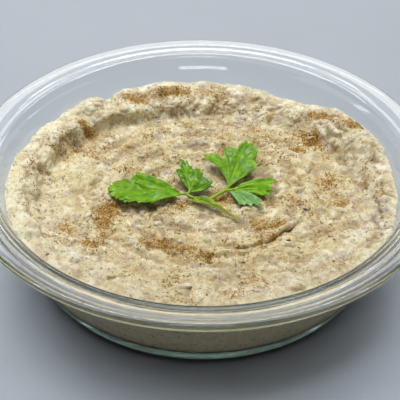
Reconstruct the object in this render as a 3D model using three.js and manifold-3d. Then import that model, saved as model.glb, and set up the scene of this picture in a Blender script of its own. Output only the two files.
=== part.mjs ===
// Baba ganoush in a round glass dish, with two sprigs of parsley on top.
// Millimetres, +Z up. The origin is the middle of the dish's underside.
// Azimuths are in degrees, from +X towards +Y; the dip's ledge is deepest on the +Y side.

import * as THREE from "three";
import { mergeVertices } from "three/addons/utils/BufferGeometryUtils.js";
import ManifoldModule from "manifold-3d";

const manifold = await ManifoldModule();
manifold.setup();

const GAP = 0.3; // clearance between pieces that touch
const { clamp, degToRad, lerp, smoothstep } = THREE.MathUtils;

// ---------------------------------------------------------------- driving dimensions

const RIM_RADIUS = 120;
const DISH_HEIGHT = 58;
const DISH_SIDES = 64;
const BASE_THICKNESS = 8;
const WALL_THICKNESS = 4.6; // measured level
const WALL_FOOT_RADIUS = 87.2; // outside of the wall, carried down to the table
const WALL_LEAN = 0.18; // outward run for each unit of height, at the table
const WALL_FLARE = 0.00446; // how fast that lean grows
const FOOT_ROUND = 13; // outer corner between base and wall
const FOOT_ROUND_TOP = 14;
const FLOOR_ROUND = 10; // inner corner between base and wall
const FLOOR_ROUND_TOP = 18;
const OUTER_HEIGHTS = [22, 31, 40]; // rings of the wall's outside
const BEAD_RADIUS = 2.3; // rolled bead along the edge of the rim
const FLANGE_RADIUS = 115.4; // where the flat of the rim meets the bead
const FLANGE_HEIGHT = 57.8;
const FLANGE_SLOPE = 0.12;
const FLANGE_TOP_ROUND = 4;
const FLANGE_UNDER_ROUND = 13;
const FLANGE_LEVEL = 50; // height at which the wall's outside starts to turn into the flange
const SHOULDER_LEVEL = 44; // height at which its inside does
const SHOULDER_LEAN = 0.42; // outward run of the inside for each unit of height, from there up

const PLATEAU_HEIGHT = 39.6; // top of the dip in the middle
const TROUGH_DROP = 3; // how much lower the plateau is at the foot of the sheer ledge
const TROUGH_START = 34; // radius at which it starts to fall
const RING_SPACING = 5; // length of the dip's facets
const INNER_RINGS = 11; // inside the crease
const CREASE_RINGS = { inside: 5, before: 2, after: 2.5 };
const SIDE_HEIGHTS = [40, 33, 26, 18]; // rings of the dip against the glass
const SWIRL_PITCH = 13; // spoon marks on the plateau
const SWIRL_HEIGHT = 0.45;
const SWIRL_BAND = [16, 30, 58, 70]; // radii at which it starts, is full, starts to fade, is gone
const CREASE_RADIUS = 51; // crease that the spoon left in the front half
const CREASE_SWING = 2.5; // it lies this far off centre
const CREASE_SWING_AZIMUTH = -28;
const CREASE_DEPTH = 2.4;
const CREASE_WIDTH = 2.6;
const CREASE_SHOULDERS = [[-5, 0.9], [6, 0.5]]; // [distance from the crease, height]
const CREASE_SHOULDER_WIDTH = 4;
const CREASE_AZIMUTH = -66;
const CREASE_REACH = 52; // degrees to either side at full depth
const CREASE_FADE = 14;

// The raised band round the plateau, one row for every 30 degrees of azimuth.
// [ledge radius, how sheer the ledge is from 0 to 1, crest radius, crest height, height at the glass]
const BAND = [
  [86, 0.35, 93, 44.8, 43.4],
  [80, 0.4, 95, 47.4, 46.2],
  [74, 0.5, 88, 43, 40],
  [72.5, 0.65, 88, 44, 41.8],
  [75, 0.95, 90, 44.2, 41.8],
  [82, 0.9, 93, 45.4, 43.2],
  [84, 0.5, 93, 46.6, 45.4],
  [80, 0.1, 93, 47.2, 46.8],
  [77, 0, 92, 46.4, 46.6],
  [76, 0, 92, 45.6, 45.8],
  [78, 0, 92, 45.6, 45.8],
  [82, 0.05, 93, 45.6, 45.4],
];
const BAND_STEP = 30;
const AT_GLASS = 5; // place of the glass across the band
const LEDGE_APRON = 7; // level ground in front of the ledge
const TOE_HEIGHT = 0.4;
// Where a ledge's toe and lip lie, measured from its radius.
const SHEER_LEDGE = { toe: -0.8, lip: 0.8, lipBelowCrest: 1.4 };
const SOFT_LEDGE = { toe: -2, lip: 7, lipAbovePlateau: 2 };

// Mounds (and notches, where the height is negative) on the band: [azimuth, radius, spread, height].
const MOUNDS = [
  [133, 91, 9, 2.2],
  [124, 94, 4, -3],
  [146, 95, 5, -1.2],
  [137, 83, 5, -2.5],
  [104, 92, 8, 0.8],
  [89, 92, 6, 1.2],
  [53, 94, 7, -1.2],
  [41, 94, 8, 1.8],
];

// Lumps in the mash: width and height on the band, and how much of it the plateau has.
const LUMPS = [
  { width: 15, height: 1.3, onPlateau: 0.3, seed: 11 },
  { width: 8, height: 1, onPlateau: 0.3, seed: 12 },
];
const LUMPS_AT_GLASS = 0.5;
const LEDGE_WANDER = { radius: 80, width: 11, height: 2.2, seed: 13 };

// Shreds of aubergine and skin that stand proud of the dip.
const BITS = { count: 24, inner: 34, outer: 88, long: 3.4, wide: 2.2, high: 1.3, seed: 21 };

// Parsley. A leaf fans out from the end of its stalk: outline holds [bearing, reach] of its tips
// and notches, counter-clockwise from its clockwise edge, with bearings taken from its heading.
// waist narrows the leaf near the stalk on its clockwise and counter-clockwise sides.
const LEAF_THICKNESS = 0.5;
const LEAF_RINGS = [0.35, 0.7, 1];
const LEAF_RIPPLE = 0.35;
const LEAF_RIPPLES = 9; // waves in a full turn
const STALK_SIDES = 8;
const LEFT_LEAVES = [
  {
    base: [-9.8, -7, 42.5], heading: 174, waist: [0.6, 1],
    rise: -0.03, arch: 1.4, tilt: -0.06, cup: 0.012,
    outline: [[-33, 9], [-31, 16], [-29, 20.5], [-27, 26.5], [-20, 29], [-15, 28.4], [-12, 36],
      [-4, 39.4], [8, 36.5], [22, 30], [32, 24], [37, 14], [39, 6]],
  },
  {
    base: [-6.3, -5.2, 42.5], heading: 98, waist: [1, 0.9],
    rise: 0.12, arch: 0.8, tilt: 0, cup: 0.01,
    outline: [[-88, 7], [-84, 12], [-70, 12.8], [-50, 12], [-33, 14.8], [-21, 17.4], [-14, 16.6],
      [-5, 21.5], [6, 24], [9, 19.4], [18, 17.5], [24, 11], [26, 5]],
  },
  {
    base: [-7.8, -7.8, 42.2], heading: -33, waist: [1, 1],
    rise: -0.045, arch: 0.8, tilt: 0.08, cup: 0,
    outline: [[-20, 5], [-12, 7.9], [-4, 12.5], [-2.2, 20], [-1.4, 29], [0.7, 32.1], [2.4, 27], [5.5, 22.3],
      [11.7, 16.3], [19, 11.5], [26, 6.7]],
  },
];
const RIGHT_LEAVES = [
  {
    base: [13.1, -1, 42.5], heading: 76, waist: [0.85, 0.35],
    rise: 0.16, arch: 0, tilt: -0.05, cup: 0,
    outline: [[-36, 12], [-34, 20], [-31, 23.4], [-22, 22.8], [-20, 28], [-12, 33.4], [-3, 35.4],
      [3, 32.5], [4, 29], [12, 28.4], [19, 29], [20, 22.2], [30, 27], [40, 28.2], [44, 22]],
  },
  {
    base: [13.6, -3.1, 42.5], heading: 3.5, waist: [1, 1],
    rise: 0.02, arch: 0.6, tilt: 0.09, cup: 0,
    outline: [[-72, 6], [-70, 11.5], [-58, 14.6], [-51, 16.8], [-48, 16.2], [-41, 20], [-33, 19.6],
      [-26, 16], [-23, 11.5], [-20, 17.8], [-10, 21.8], [-8, 19.2], [0, 22.8], [6, 22.3],
      [15, 25.6], [19, 24.6], [21, 20], [25, 14], [29, 6]],
  },
];
// Stalks: radius, then the points that each runs through.
const LEFT_STALKS = [
  { radius: 0.6, route: [[-12.5, -7.1, 42.7], [-9.6, -7, 42.5], [-7.2, -6.2, 42.5], [-6.1, -3, 42.9]] },
  { radius: 0.6, route: [[-7.6, -6.1, 42.4], [-7.5, -7.4, 42.3], [-4.6, -9.7, 42.4]] },
];
const RIGHT_STALKS = [
  { radius: 0.9, route: [[3.6, -9.8, 41.4], [7, -6.9, 41.8], [11.2, -3.4, 42.3], [13.2, -0.4, 42.6]] },
  { radius: 0.6, route: [[11, -3.6, 42.3], [13.6, -3.1, 42.5], [16.5, -2.6, 42.7]] },
];

// ---------------------------------------------------------------- small tools

function point(radius, height) {
  return new THREE.Vector2(radius, height);
}

// Points of the arc that rounds a corner of a profile.
function roundCorner(before, corner, after, radius, steps) {
  const back = before.clone().sub(corner).normalize();
  const ahead = after.clone().sub(corner).normalize();
  const half = Math.acos(clamp(back.dot(ahead), -1, 1)) / 2;
  const reach = radius / Math.tan(half);
  const centre = back.clone().add(ahead).setLength(radius / Math.sin(half)).add(corner);
  const start = corner.clone().addScaledVector(back, reach).sub(centre);
  const end = corner.clone().addScaledVector(ahead, reach).sub(centre);
  const turn = Math.atan2(start.cross(end), start.dot(end));
  const points = [];
  for (let step = 0; step <= steps; step += 1) {
    const arm = start.clone().rotateAround(point(0, 0), (turn * step) / steps);
    points.push(arm.add(centre));
  }
  return points;
}

function arc(centre, radius, fromAngle, toAngle, steps) {
  const points = [];
  for (let step = 0; step <= steps; step += 1) {
    const angle = degToRad(lerp(fromAngle, toAngle, step / steps));
    points.push(point(centre.x + radius * Math.cos(angle), centre.y + radius * Math.sin(angle)));
  }
  return points;
}

// A repeatable draw from 0 to 1 for each whole-numbered place.
function draw(column, row, seed) {
  let mixed = Math.imul(column, 374761393) ^ Math.imul(row, 668265263) ^ Math.imul(seed, 1442695041);
  mixed = Math.imul(mixed ^ (mixed >>> 13), 1274126177);
  mixed ^= mixed >>> 16;
  return (mixed >>> 0) / 4294967296;
}

// Smooth bumps from -1 to 1, one for each unit of x and y.
function bumps(x, y, seed) {
  const column = Math.floor(x);
  const row = Math.floor(y);
  const across = smoothstep(x - column, 0, 1);
  const up = smoothstep(y - row, 0, 1);
  const low = lerp(draw(column, row, seed), draw(column + 1, row, seed), across);
  const high = lerp(draw(column, row + 1, seed), draw(column + 1, row + 1, seed), across);
  return 2 * lerp(low, high, up) - 1;
}

function catmullRom(a, b, c, d, t) {
  const bend = 2 * a - 5 * b + 4 * c - d;
  const twist = 3 * b - a - 3 * c + d;
  return 0.5 * (2 * b + (c - a) * t + bend * t * t + twist * t * t * t);
}

function indexedGeometry(positions, triangles) {
  const geometry = new THREE.BufferGeometry();
  geometry.setAttribute("position", new THREE.Float32BufferAttribute(positions, 3));
  geometry.setIndex(triangles);
  return geometry;
}

function toSolid(geometry) {
  const bare = geometry.clone();
  bare.deleteAttribute("normal");
  bare.deleteAttribute("uv");
  const merged = mergeVertices(bare, 1e-4);
  const mesh = new manifold.Mesh({
    numProp: 3,
    vertProperties: new Float32Array(merged.attributes.position.array),
    triVerts: new Uint32Array(merged.index.array),
  });
  return new manifold.Manifold(mesh);
}

function toGeometry(solid) {
  const mesh = solid.getMesh();
  return indexedGeometry(Array.from(mesh.vertProperties), Array.from(mesh.triVerts));
}

function joined(geometries) {
  const [first, ...others] = geometries.map(toSolid);
  return toGeometry(others.reduce((whole, solid) => whole.add(solid), first));
}

// ---------------------------------------------------------------- glass dish

function wallRadius(height) {
  return WALL_FOOT_RADIUS + WALL_LEAN * height + WALL_FLARE * height * height;
}

function wallSlope(height) {
  return WALL_LEAN + 2 * WALL_FLARE * height;
}

function outerWall(height) {
  return point(wallRadius(height), height);
}

// The inside follows the outside up to the shoulder, and leans out evenly from there.
function innerRadius(height) {
  const level = Math.min(height, SHOULDER_LEVEL);
  return wallRadius(level) - WALL_THICKNESS + SHOULDER_LEAN * (height - level);
}

function innerWall(height) {
  return point(innerRadius(height), height);
}

// Where the wall's line at one height reaches another level.
function wallCorner(height, level, inset) {
  return point(wallRadius(height) - inset - (height - level) * wallSlope(height), level);
}

// Where a wall that leans from its start meets the slope of the flange, which lies below its top by drop.
function flangeCorner(start, lean, drop) {
  const flangeThere = FLANGE_HEIGHT - drop - FLANGE_SLOPE * (FLANGE_RADIUS - start.x);
  const climb = (flangeThere - start.y) / (1 - FLANGE_SLOPE * lean);
  return point(start.x + lean * climb, start.y + climb);
}

// The inner corner between floor and wall, kept clear by inset.
function floorCorner(inset) {
  const floor = BASE_THICKNESS + inset;
  const corner = wallCorner(FLOOR_ROUND_TOP, floor, WALL_THICKNESS + inset);
  const wall = innerWall(FLOOR_ROUND_TOP).sub(point(inset, 0));
  return roundCorner(wall, corner, point(0, floor), FLOOR_ROUND - inset, 5);
}

function dishProfile() {
  const under = flangeCorner(outerWall(FLANGE_LEVEL), wallSlope(FLANGE_LEVEL), WALL_THICKNESS);
  const over = flangeCorner(innerWall(SHOULDER_LEVEL), SHOULDER_LEAN, 0);
  const flange = point(FLANGE_RADIUS, FLANGE_HEIGHT);
  const flangeUnder = point(FLANGE_RADIUS, FLANGE_HEIGHT - WALL_THICKNESS);
  const bead = point(RIM_RADIUS - BEAD_RADIUS, DISH_HEIGHT - BEAD_RADIUS);
  return [
    point(0, 0),
    ...roundCorner(point(0, 0), wallCorner(FOOT_ROUND_TOP, 0, 0), outerWall(FOOT_ROUND_TOP), FOOT_ROUND, 5),
    ...OUTER_HEIGHTS.map(outerWall),
    ...roundCorner(outerWall(OUTER_HEIGHTS.at(-1)), under, flangeUnder, FLANGE_UNDER_ROUND, 3),
    ...arc(bead, BEAD_RADIUS, -90, 90, 4),
    flange,
    ...roundCorner(flange, over, innerWall(SHOULDER_LEVEL), FLANGE_TOP_ROUND, 4),
    innerWall(SHOULDER_LEVEL), // stands in for the first of the side's rings
    ...SIDE_HEIGHTS.slice(1).map(innerWall),
    ...floorCorner(0),
    point(0, BASE_THICKNESS),
  ];
}

function glassDish() {
  return new THREE.LatheGeometry(dishProfile(), DISH_SIDES).rotateX(Math.PI / 2);
}

// ---------------------------------------------------------------- the dip

function dipEdgeRadius(height) {
  return innerRadius(height) - GAP;
}

// A column of BAND, carried smoothly round all azimuths.
function around(column, azimuth) {
  const place = (((azimuth / BAND_STEP) % BAND.length) + BAND.length) % BAND.length;
  const row = Math.floor(place);
  const at = (step) => BAND[(row + step + BAND.length) % BAND.length][column];
  return catmullRom(at(-1), at(0), at(1), at(2), place - row);
}

function ledgeRadius(azimuth) {
  const x = LEDGE_WANDER.radius * Math.cos(degToRad(azimuth));
  const y = LEDGE_WANDER.radius * Math.sin(degToRad(azimuth));
  const wander = bumps(x / LEDGE_WANDER.width, y / LEDGE_WANDER.width, LEDGE_WANDER.seed);
  return around(0, azimuth) + LEDGE_WANDER.height * wander * around(1, azimuth);
}

function creaseRadius(azimuth) {
  return CREASE_RADIUS + CREASE_SWING * Math.cos(degToRad(azimuth - CREASE_SWING_AZIMUTH));
}

function hump(distance, width) {
  return Math.exp(-((distance / width) ** 2));
}

// Height of the crease against the plateau, with a soft shoulder on both sides.
function crease(radius, azimuth) {
  const turn = Math.abs(((((azimuth - CREASE_AZIMUTH) % 360) + 540) % 360) - 180);
  const strength = 1 - smoothstep(turn, CREASE_REACH, CREASE_REACH + CREASE_FADE);
  const off = radius - creaseRadius(azimuth);
  let height = -CREASE_DEPTH * hump(off, CREASE_WIDTH);
  for (const [place, rise] of CREASE_SHOULDERS) {
    height += rise * hump(off - place, CREASE_SHOULDER_WIDTH);
  }
  return strength * height;
}

function swirl(radius, azimuth) {
  const [start, full, fade, gone] = SWIRL_BAND;
  const strength = smoothstep(radius, start, full) * (1 - smoothstep(radius, fade, gone));
  return SWIRL_HEIGHT * strength * Math.sin(2 * Math.PI * (radius / SWIRL_PITCH - azimuth / 360));
}

function sheerness(azimuth) {
  return clamp(around(1, azimuth), 0, 1);
}

// The plateau dishes down towards the foot of the sheer ledge.
function plateauHeight(radius, azimuth) {
  const fall = smoothstep(radius, TROUGH_START, ledgeRadius(azimuth) - LEDGE_APRON);
  return PLATEAU_HEIGHT - TROUGH_DROP * sheerness(azimuth) * fall;
}

// Points across the band, from the plateau over ledge, lip and crest to the glass.
function bandSection(azimuth) {
  const ledge = ledgeRadius(azimuth);
  const sheer = sheerness(azimuth);
  const floor = PLATEAU_HEIGHT - TROUGH_DROP * sheer;
  const crest = point(around(2, azimuth), around(3, azimuth));
  const glass = around(4, azimuth);
  const toe = point(ledge + lerp(SOFT_LEDGE.toe, SHEER_LEDGE.toe, sheer), floor + TOE_HEIGHT);
  const softLip = PLATEAU_HEIGHT + SOFT_LEDGE.lipAbovePlateau;
  const lipHeight = lerp(softLip, crest.y - SHEER_LEDGE.lipBelowCrest, sheer);
  const lip = point(ledge + lerp(SOFT_LEDGE.lip, SHEER_LEDGE.lip, sheer), lipHeight);
  const edge = point(dipEdgeRadius(glass), glass);
  return [
    point(ledge - 2 * LEDGE_APRON, floor),
    point(ledge - LEDGE_APRON, floor),
    toe,
    lip,
    point(lerp(lip.x, crest.x, 0.5), lerp(lip.y, crest.y, 0.75)),
    crest,
    edge,
    point(edge.x + 3, edge.y - 4), // only steers the curve into the edge
  ];
}

// A point of the band, place running from 0 on the plateau to AT_GLASS.
function bandPoint(place, azimuth) {
  const section = bandSection(azimuth);
  const first = Math.min(Math.floor(place), AT_GLASS - 1);
  const [a, b, c, d] = section.slice(first, first + 4);
  const t = place - first;
  return point(catmullRom(a.x, b.x, c.x, d.x, t), catmullRom(a.y, b.y, c.y, d.y, t));
}

function mounds(x, y) {
  let height = 0;
  for (const [azimuth, radius, spread, rise] of MOUNDS) {
    const dx = x - radius * Math.cos(degToRad(azimuth));
    const dy = y - radius * Math.sin(degToRad(azimuth));
    height += rise * Math.exp(-(dx * dx + dy * dy) / (spread * spread));
  }
  return height;
}

function lumps(x, y, onBand) {
  let height = 0;
  for (const lump of LUMPS) {
    const share = lerp(lump.onPlateau, 1, onBand);
    height += lump.height * share * bumps(x / lump.width, y / lump.width, lump.seed);
  }
  return height;
}

function plateauVertex(radius, azimuth) {
  const x = radius * Math.cos(degToRad(azimuth));
  const y = radius * Math.sin(degToRad(azimuth));
  const spooned = plateauHeight(radius, azimuth) + crease(radius, azimuth) + swirl(radius, azimuth);
  return new THREE.Vector3(x, y, spooned + lumps(x, y, 0));
}

function bandVertex(place, azimuth) {
  const { x: radius, y: height } = bandPoint(place, azimuth);
  const x = Math.cos(degToRad(azimuth));
  const y = Math.sin(degToRad(azimuth));
  const onBand = smoothstep(place, 0, 2);
  const atGlass = smoothstep(place, AT_GLASS - 1, AT_GLASS);
  const uneven = lumps(radius * x, radius * y, onBand) * lerp(1, LUMPS_AT_GLASS, atGlass);
  const lumpy = height + uneven + mounds(radius * x, radius * y) * onBand;
  const inside = Math.min(radius, dipEdgeRadius(lumpy));
  const reach = lerp(inside, dipEdgeRadius(lumpy), atGlass);
  return new THREE.Vector3(reach * x, reach * y, lumpy);
}

// The plateau's rings crowd together round the crease.
function plateauRadii(azimuth) {
  const valley = creaseRadius(azimuth);
  const edge = ledgeRadius(azimuth) - LEDGE_APRON;
  const inner = Array.from({ length: INNER_RINGS }, (unused, ring) => {
    return ((valley - CREASE_RINGS.inside) * (ring + 1)) / INNER_RINGS;
  });
  const outer = [1, 2].map((ring) => lerp(valley + CREASE_RINGS.after, edge, ring / 3));
  return [...inner, valley - CREASE_RINGS.before, valley, valley + CREASE_RINGS.after, ...outer];
}

function ringOf(count, vertexAt) {
  return Array.from({ length: count }, (unused, index) => vertexAt((360 * index) / count));
}

function dipRings() {
  const rings = [];
  const typical = plateauRadii(0);
  typical.forEach((radius, index) => {
    const count = Math.max(6, Math.round((2 * Math.PI * radius) / RING_SPACING));
    rings.push(ringOf(count, (azimuth) => plateauVertex(plateauRadii(azimuth)[index], azimuth)));
  });
  for (let place = 0; place <= AT_GLASS; place += 0.5) {
    const radius = bandPoint(place, 0).x;
    const count = Math.round((2 * Math.PI * radius) / RING_SPACING);
    rings.push(ringOf(count, (azimuth) => bandVertex(place, azimuth)));
  }
  const wall = SIDE_HEIGHTS.map((height) => point(dipEdgeRadius(height), height));
  for (const side of [...wall, ...floorCorner(GAP)]) {
    rings.push(ringOf(DISH_SIDES, (azimuth) => {
      const angle = degToRad(azimuth);
      return new THREE.Vector3(side.x * Math.cos(angle), side.x * Math.sin(angle), side.y);
    }));
  }
  return rings;
}

// Triangles between two rings whose counts may differ; the outer ring follows the inner one.
function bridge(innerStart, innerCount, outerStart, outerCount) {
  const triangles = [];
  let inner = 0;
  let outer = 0;
  while (inner < innerCount || outer < outerCount) {
    const from = innerStart + (inner % innerCount);
    const to = outerStart + (outer % outerCount);
    const turnOuter = (outer + 1) / outerCount <= (inner + 1) / innerCount;
    if (outer < outerCount && (turnOuter || inner === innerCount)) {
      triangles.push(from, to, outerStart + ((outer + 1) % outerCount));
      outer += 1;
    } else {
      triangles.push(from, to, innerStart + ((inner + 1) % innerCount));
      inner += 1;
    }
  }
  return triangles;
}

function dipBody() {
  const rings = dipRings();
  const middle = new THREE.Vector3(0, 0, PLATEAU_HEIGHT + lumps(0, 0, 0));
  const bottom = new THREE.Vector3(0, 0, BASE_THICKNESS + GAP);
  const levels = [[middle], ...rings, [bottom]];
  const positions = levels.flat().flatMap((vertex) => vertex.toArray());
  const triangles = [];
  let start = 0;
  for (let level = 0; level + 1 < levels.length; level += 1) {
    const here = levels[level].length;
    const next = levels[level + 1].length;
    triangles.push(...bridge(start, here, start + here, next));
    start += here;
  }
  return indexedGeometry(positions, triangles);
}

// Shreds spread evenly over the top, each half sunk.
function dipBits() {
  const goldenTurn = 137.508; // degrees
  return Array.from({ length: BITS.count }, (unused, index) => {
    const share = (index + 0.5) / BITS.count;
    const radius = Math.sqrt(lerp(BITS.inner ** 2, BITS.outer ** 2, share));
    const azimuth = (index * goldenTurn) % 360;
    const size = lerp(0.7, 1.3, draw(index, 0, BITS.seed));
    const turn = 2 * Math.PI * draw(index, 1, BITS.seed);
    const edge = ledgeRadius(azimuth) - LEDGE_APRON;
    const onPlateau = radius < edge;
    const place = AT_GLASS * clamp((radius - edge) / (dipEdgeRadius(PLATEAU_HEIGHT) - edge), 0, 1);
    const seat = onPlateau ? plateauVertex(radius, azimuth) : bandVertex(place, azimuth);
    const bit = new THREE.IcosahedronGeometry(1, 0);
    bit.scale((size * BITS.long) / 2, (size * BITS.wide) / 2, (size * BITS.high) / 2);
    bit.rotateZ(turn);
    bit.translate(seat.x, seat.y, seat.z);
    return bit;
  });
}

function babaGanoush() {
  return joined([dipBody(), ...dipBits()]);
}

// ---------------------------------------------------------------- parsley

// Reach of a leaf's outline at a bearing: a smooth line that never overshoots tips or notches.
function outlineReach(outline, bearing) {
  const last = outline.length - 1;
  let index = 0;
  while (index < last - 1 && bearing > outline[index + 1][0]) {
    index += 1;
  }
  const pitch = (from) => {
    const [here, next] = [outline[from], outline[from + 1]];
    return (next[1] - here[1]) / (next[0] - here[0]);
  };
  const slopeAt = (at) => {
    if (at === 0 || at === last) {
      return at === 0 ? pitch(0) : pitch(last - 1);
    }
    const before = pitch(at - 1);
    const after = pitch(at);
    return before * after <= 0 ? 0 : (2 * before * after) / (before + after);
  };
  const [fromBearing, fromReach] = outline[index];
  const [toBearing, toReach] = outline[index + 1];
  const span = toBearing - fromBearing;
  const t = clamp((bearing - fromBearing) / span, 0, 1);
  const rise = t * t * (3 - 2 * t);
  const leave = t * (1 - t) * (1 - t) * span * slopeAt(index);
  const arrive = t * t * (t - 1) * span * slopeAt(index + 1);
  return lerp(fromReach, toReach, rise) + leave + arrive;
}

function leafPoint(leaf, bearing, share, lift) {
  const { base, heading, waist, outline, rise, arch, tilt, cup } = leaf;
  const length = Math.max(...outline.map(([, reach]) => reach));
  const reach = share * outlineReach(outline, bearing);
  const narrowed = degToRad(bearing * lerp(bearing < 0 ? waist[0] : waist[1], 1, share));
  const along = reach * Math.cos(narrowed);
  const across = reach * Math.sin(narrowed);
  const bow = arch * Math.sin(Math.PI * clamp(along / length, 0, 1));
  const ripple = LEAF_RIPPLE * share * Math.sin(degToRad(bearing * LEAF_RIPPLES));
  const height = base[2] + rise * along + bow + tilt * across + cup * across * across + ripple;
  const turned = new THREE.Vector2(along, across).rotateAround(point(0, 0), degToRad(heading));
  return new THREE.Vector3(base[0] + turned.x, base[1] + turned.y, height + lift);
}

// Every tip and notch of the outline, and one place between each pair.
function leafBearings(outline) {
  return outline.flatMap(([bearing], index) => {
    const next = outline[index + 1];
    return next ? [bearing, (bearing + next[0]) / 2] : [bearing];
  });
}

function leafFace(leaf, lift) {
  const bearings = leafBearings(leaf.outline);
  const vertices = [leafPoint(leaf, 0, 0, lift)];
  for (const share of LEAF_RINGS) {
    vertices.push(...bearings.map((bearing) => leafPoint(leaf, bearing, share, lift)));
  }
  return vertices;
}

// One closed blade: an upper and a lower face with the same triangles, joined round the edge.
function leafBlade(leaf) {
  const half = LEAF_THICKNESS / 2;
  const upper = leafFace(leaf, half);
  const positions = [...upper, ...leafFace(leaf, -half)].flatMap((vertex) => vertex.toArray());
  const under = upper.length;
  const count = leafBearings(leaf.outline).length;
  const at = (ring, index) => (ring < 0 ? 0 : 1 + ring * count + index);
  const triangles = [];
  const face = (a, b, c) => triangles.push(a, b, c, under + a, under + c, under + b);
  const edge = (a, b) => triangles.push(a, under + a, under + b, a, under + b, b);
  const outermost = LEAF_RINGS.length - 1;
  for (let index = 0; index + 1 < count; index += 1) {
    face(0, at(0, index), at(0, index + 1));
    for (let ring = 0; ring < outermost; ring += 1) {
      face(at(ring, index), at(ring + 1, index), at(ring + 1, index + 1));
      face(at(ring, index), at(ring + 1, index + 1), at(ring, index + 1));
    }
    edge(at(outermost, index), at(outermost, index + 1));
  }
  for (let ring = 0; ring <= outermost; ring += 1) {
    edge(at(ring - 1, 0), at(ring, 0));
    edge(at(ring, count - 1), at(ring - 1, count - 1));
  }
  return indexedGeometry(positions, triangles);
}

function stalk({ radius, route }) {
  const round = new THREE.Shape(Array.from({ length: STALK_SIDES }, (unused, side) => {
    const angle = (2 * Math.PI * side) / STALK_SIDES;
    return point(radius * Math.cos(angle), radius * Math.sin(angle));
  }));
  const extrudePath = new THREE.CatmullRomCurve3(route.map((place) => new THREE.Vector3(...place)));
  return new THREE.ExtrudeGeometry(round, { steps: 8, bevelEnabled: false, extrudePath });
}

function sprig(leaves, stalks) {
  return joined([...leaves.map(leafBlade), ...stalks.map(stalk)]);
}

// ---------------------------------------------------------------- the object

const GLASS = new THREE.MeshStandardMaterial({
  color: 0xdfe8e6, roughness: 0.03, metalness: 0, transparent: true, opacity: 0.35,
});
const MASH = new THREE.MeshStandardMaterial({ color: 0xcbb995, roughness: 0.6, metalness: 0 });
const PARSLEY = new THREE.MeshStandardMaterial({ color: 0x4f8f1c, roughness: 0.4, metalness: 0 });

function named(name, geometry, material) {
  geometry.computeVertexNormals();
  const mesh = new THREE.Mesh(geometry, material);
  mesh.name = name;
  return mesh;
}

const bowlOfBabaGanoush = new THREE.Group();
bowlOfBabaGanoush.add(
  named("glass_dish", glassDish(), GLASS),
  named("baba_ganoush", babaGanoush(), MASH),
  named("parsley_sprig_left", sprig(LEFT_LEAVES, LEFT_STALKS), PARSLEY.clone()),
  named("parsley_sprig_right", sprig(RIGHT_LEAVES, RIGHT_STALKS), PARSLEY.clone()),
);

export default bowlOfBabaGanoush;
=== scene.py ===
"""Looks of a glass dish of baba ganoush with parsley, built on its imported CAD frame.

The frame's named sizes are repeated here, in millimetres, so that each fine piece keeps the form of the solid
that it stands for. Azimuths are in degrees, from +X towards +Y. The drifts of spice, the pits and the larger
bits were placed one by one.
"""

import math

import bmesh
import bpy
import numpy as np
from mathutils import Matrix, Vector
from mathutils.bvhtree import BVHTree


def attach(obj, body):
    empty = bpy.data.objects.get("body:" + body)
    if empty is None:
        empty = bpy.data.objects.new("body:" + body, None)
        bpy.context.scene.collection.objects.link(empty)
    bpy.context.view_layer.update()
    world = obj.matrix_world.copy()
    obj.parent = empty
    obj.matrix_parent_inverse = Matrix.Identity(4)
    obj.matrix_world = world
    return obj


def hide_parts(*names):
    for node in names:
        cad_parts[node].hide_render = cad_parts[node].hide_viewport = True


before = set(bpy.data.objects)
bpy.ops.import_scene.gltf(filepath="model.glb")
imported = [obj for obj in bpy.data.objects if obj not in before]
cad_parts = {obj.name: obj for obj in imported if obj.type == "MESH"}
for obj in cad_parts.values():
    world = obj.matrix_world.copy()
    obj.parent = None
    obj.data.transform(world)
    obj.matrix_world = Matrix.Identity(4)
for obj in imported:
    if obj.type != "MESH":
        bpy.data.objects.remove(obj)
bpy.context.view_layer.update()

MM = 0.001

# ---------------------------------------------------------------- sizes shared with the CAD source

RIM_RADIUS = 120
DISH_HEIGHT = 58
BASE_THICKNESS = 8
WALL_THICKNESS = 4.6
WALL_FOOT_RADIUS = 87.2
WALL_LEAN = 0.18
WALL_FLARE = 0.00446
FOOT_ROUND = 13
FOOT_ROUND_TOP = 14
FLOOR_ROUND = 10
FLOOR_ROUND_TOP = 18
BEAD_RADIUS = 2.3
FLANGE_RADIUS = 115.4
FLANGE_HEIGHT = 57.8
FLANGE_SLOPE = 0.12
FLANGE_TOP_ROUND = 4
FLANGE_UNDER_ROUND = 13
FLANGE_LEVEL = 50
SHOULDER_LEVEL = 44
SHOULDER_LEAN = 0.42

GAP = 0.3
PLATEAU_HEIGHT = 39.6
TROUGH_DROP = 3
TROUGH_START = 34
SWIRL_PITCH = 13
SWIRL_HEIGHT = 0.45
SWIRL_BAND = (16, 30, 58, 70)
CREASE_RADIUS = 51
CREASE_SWING = 2.5
CREASE_SWING_AZIMUTH = -28
CREASE_DEPTH = 2.4
CREASE_WIDTH = 2.6
CREASE_SHOULDERS = ((-5, 0.9), (6, 0.5))
CREASE_SHOULDER_WIDTH = 4
CREASE_AZIMUTH = -66
CREASE_REACH = 52
CREASE_FADE = 14
BAND = np.array([
    (86, 0.35, 93, 44.8, 43.4),
    (80, 0.4, 95, 47.4, 46.2),
    (74, 0.5, 88, 43, 40),
    (72.5, 0.65, 88, 44, 41.8),
    (75, 0.95, 90, 44.2, 41.8),
    (82, 0.9, 93, 45.4, 43.2),
    (84, 0.5, 93, 46.6, 45.4),
    (80, 0.1, 93, 47.2, 46.8),
    (77, 0, 92, 46.4, 46.6),
    (76, 0, 92, 45.6, 45.8),
    (78, 0, 92, 45.6, 45.8),
    (82, 0.05, 93, 45.6, 45.4),
])
BAND_STEP = 30
AT_GLASS = 5
LEDGE_APRON = 7
TOE_HEIGHT = 0.4
SHEER_LEDGE = {"toe": -0.8, "lip": 0.8, "below": 1.4}
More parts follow.
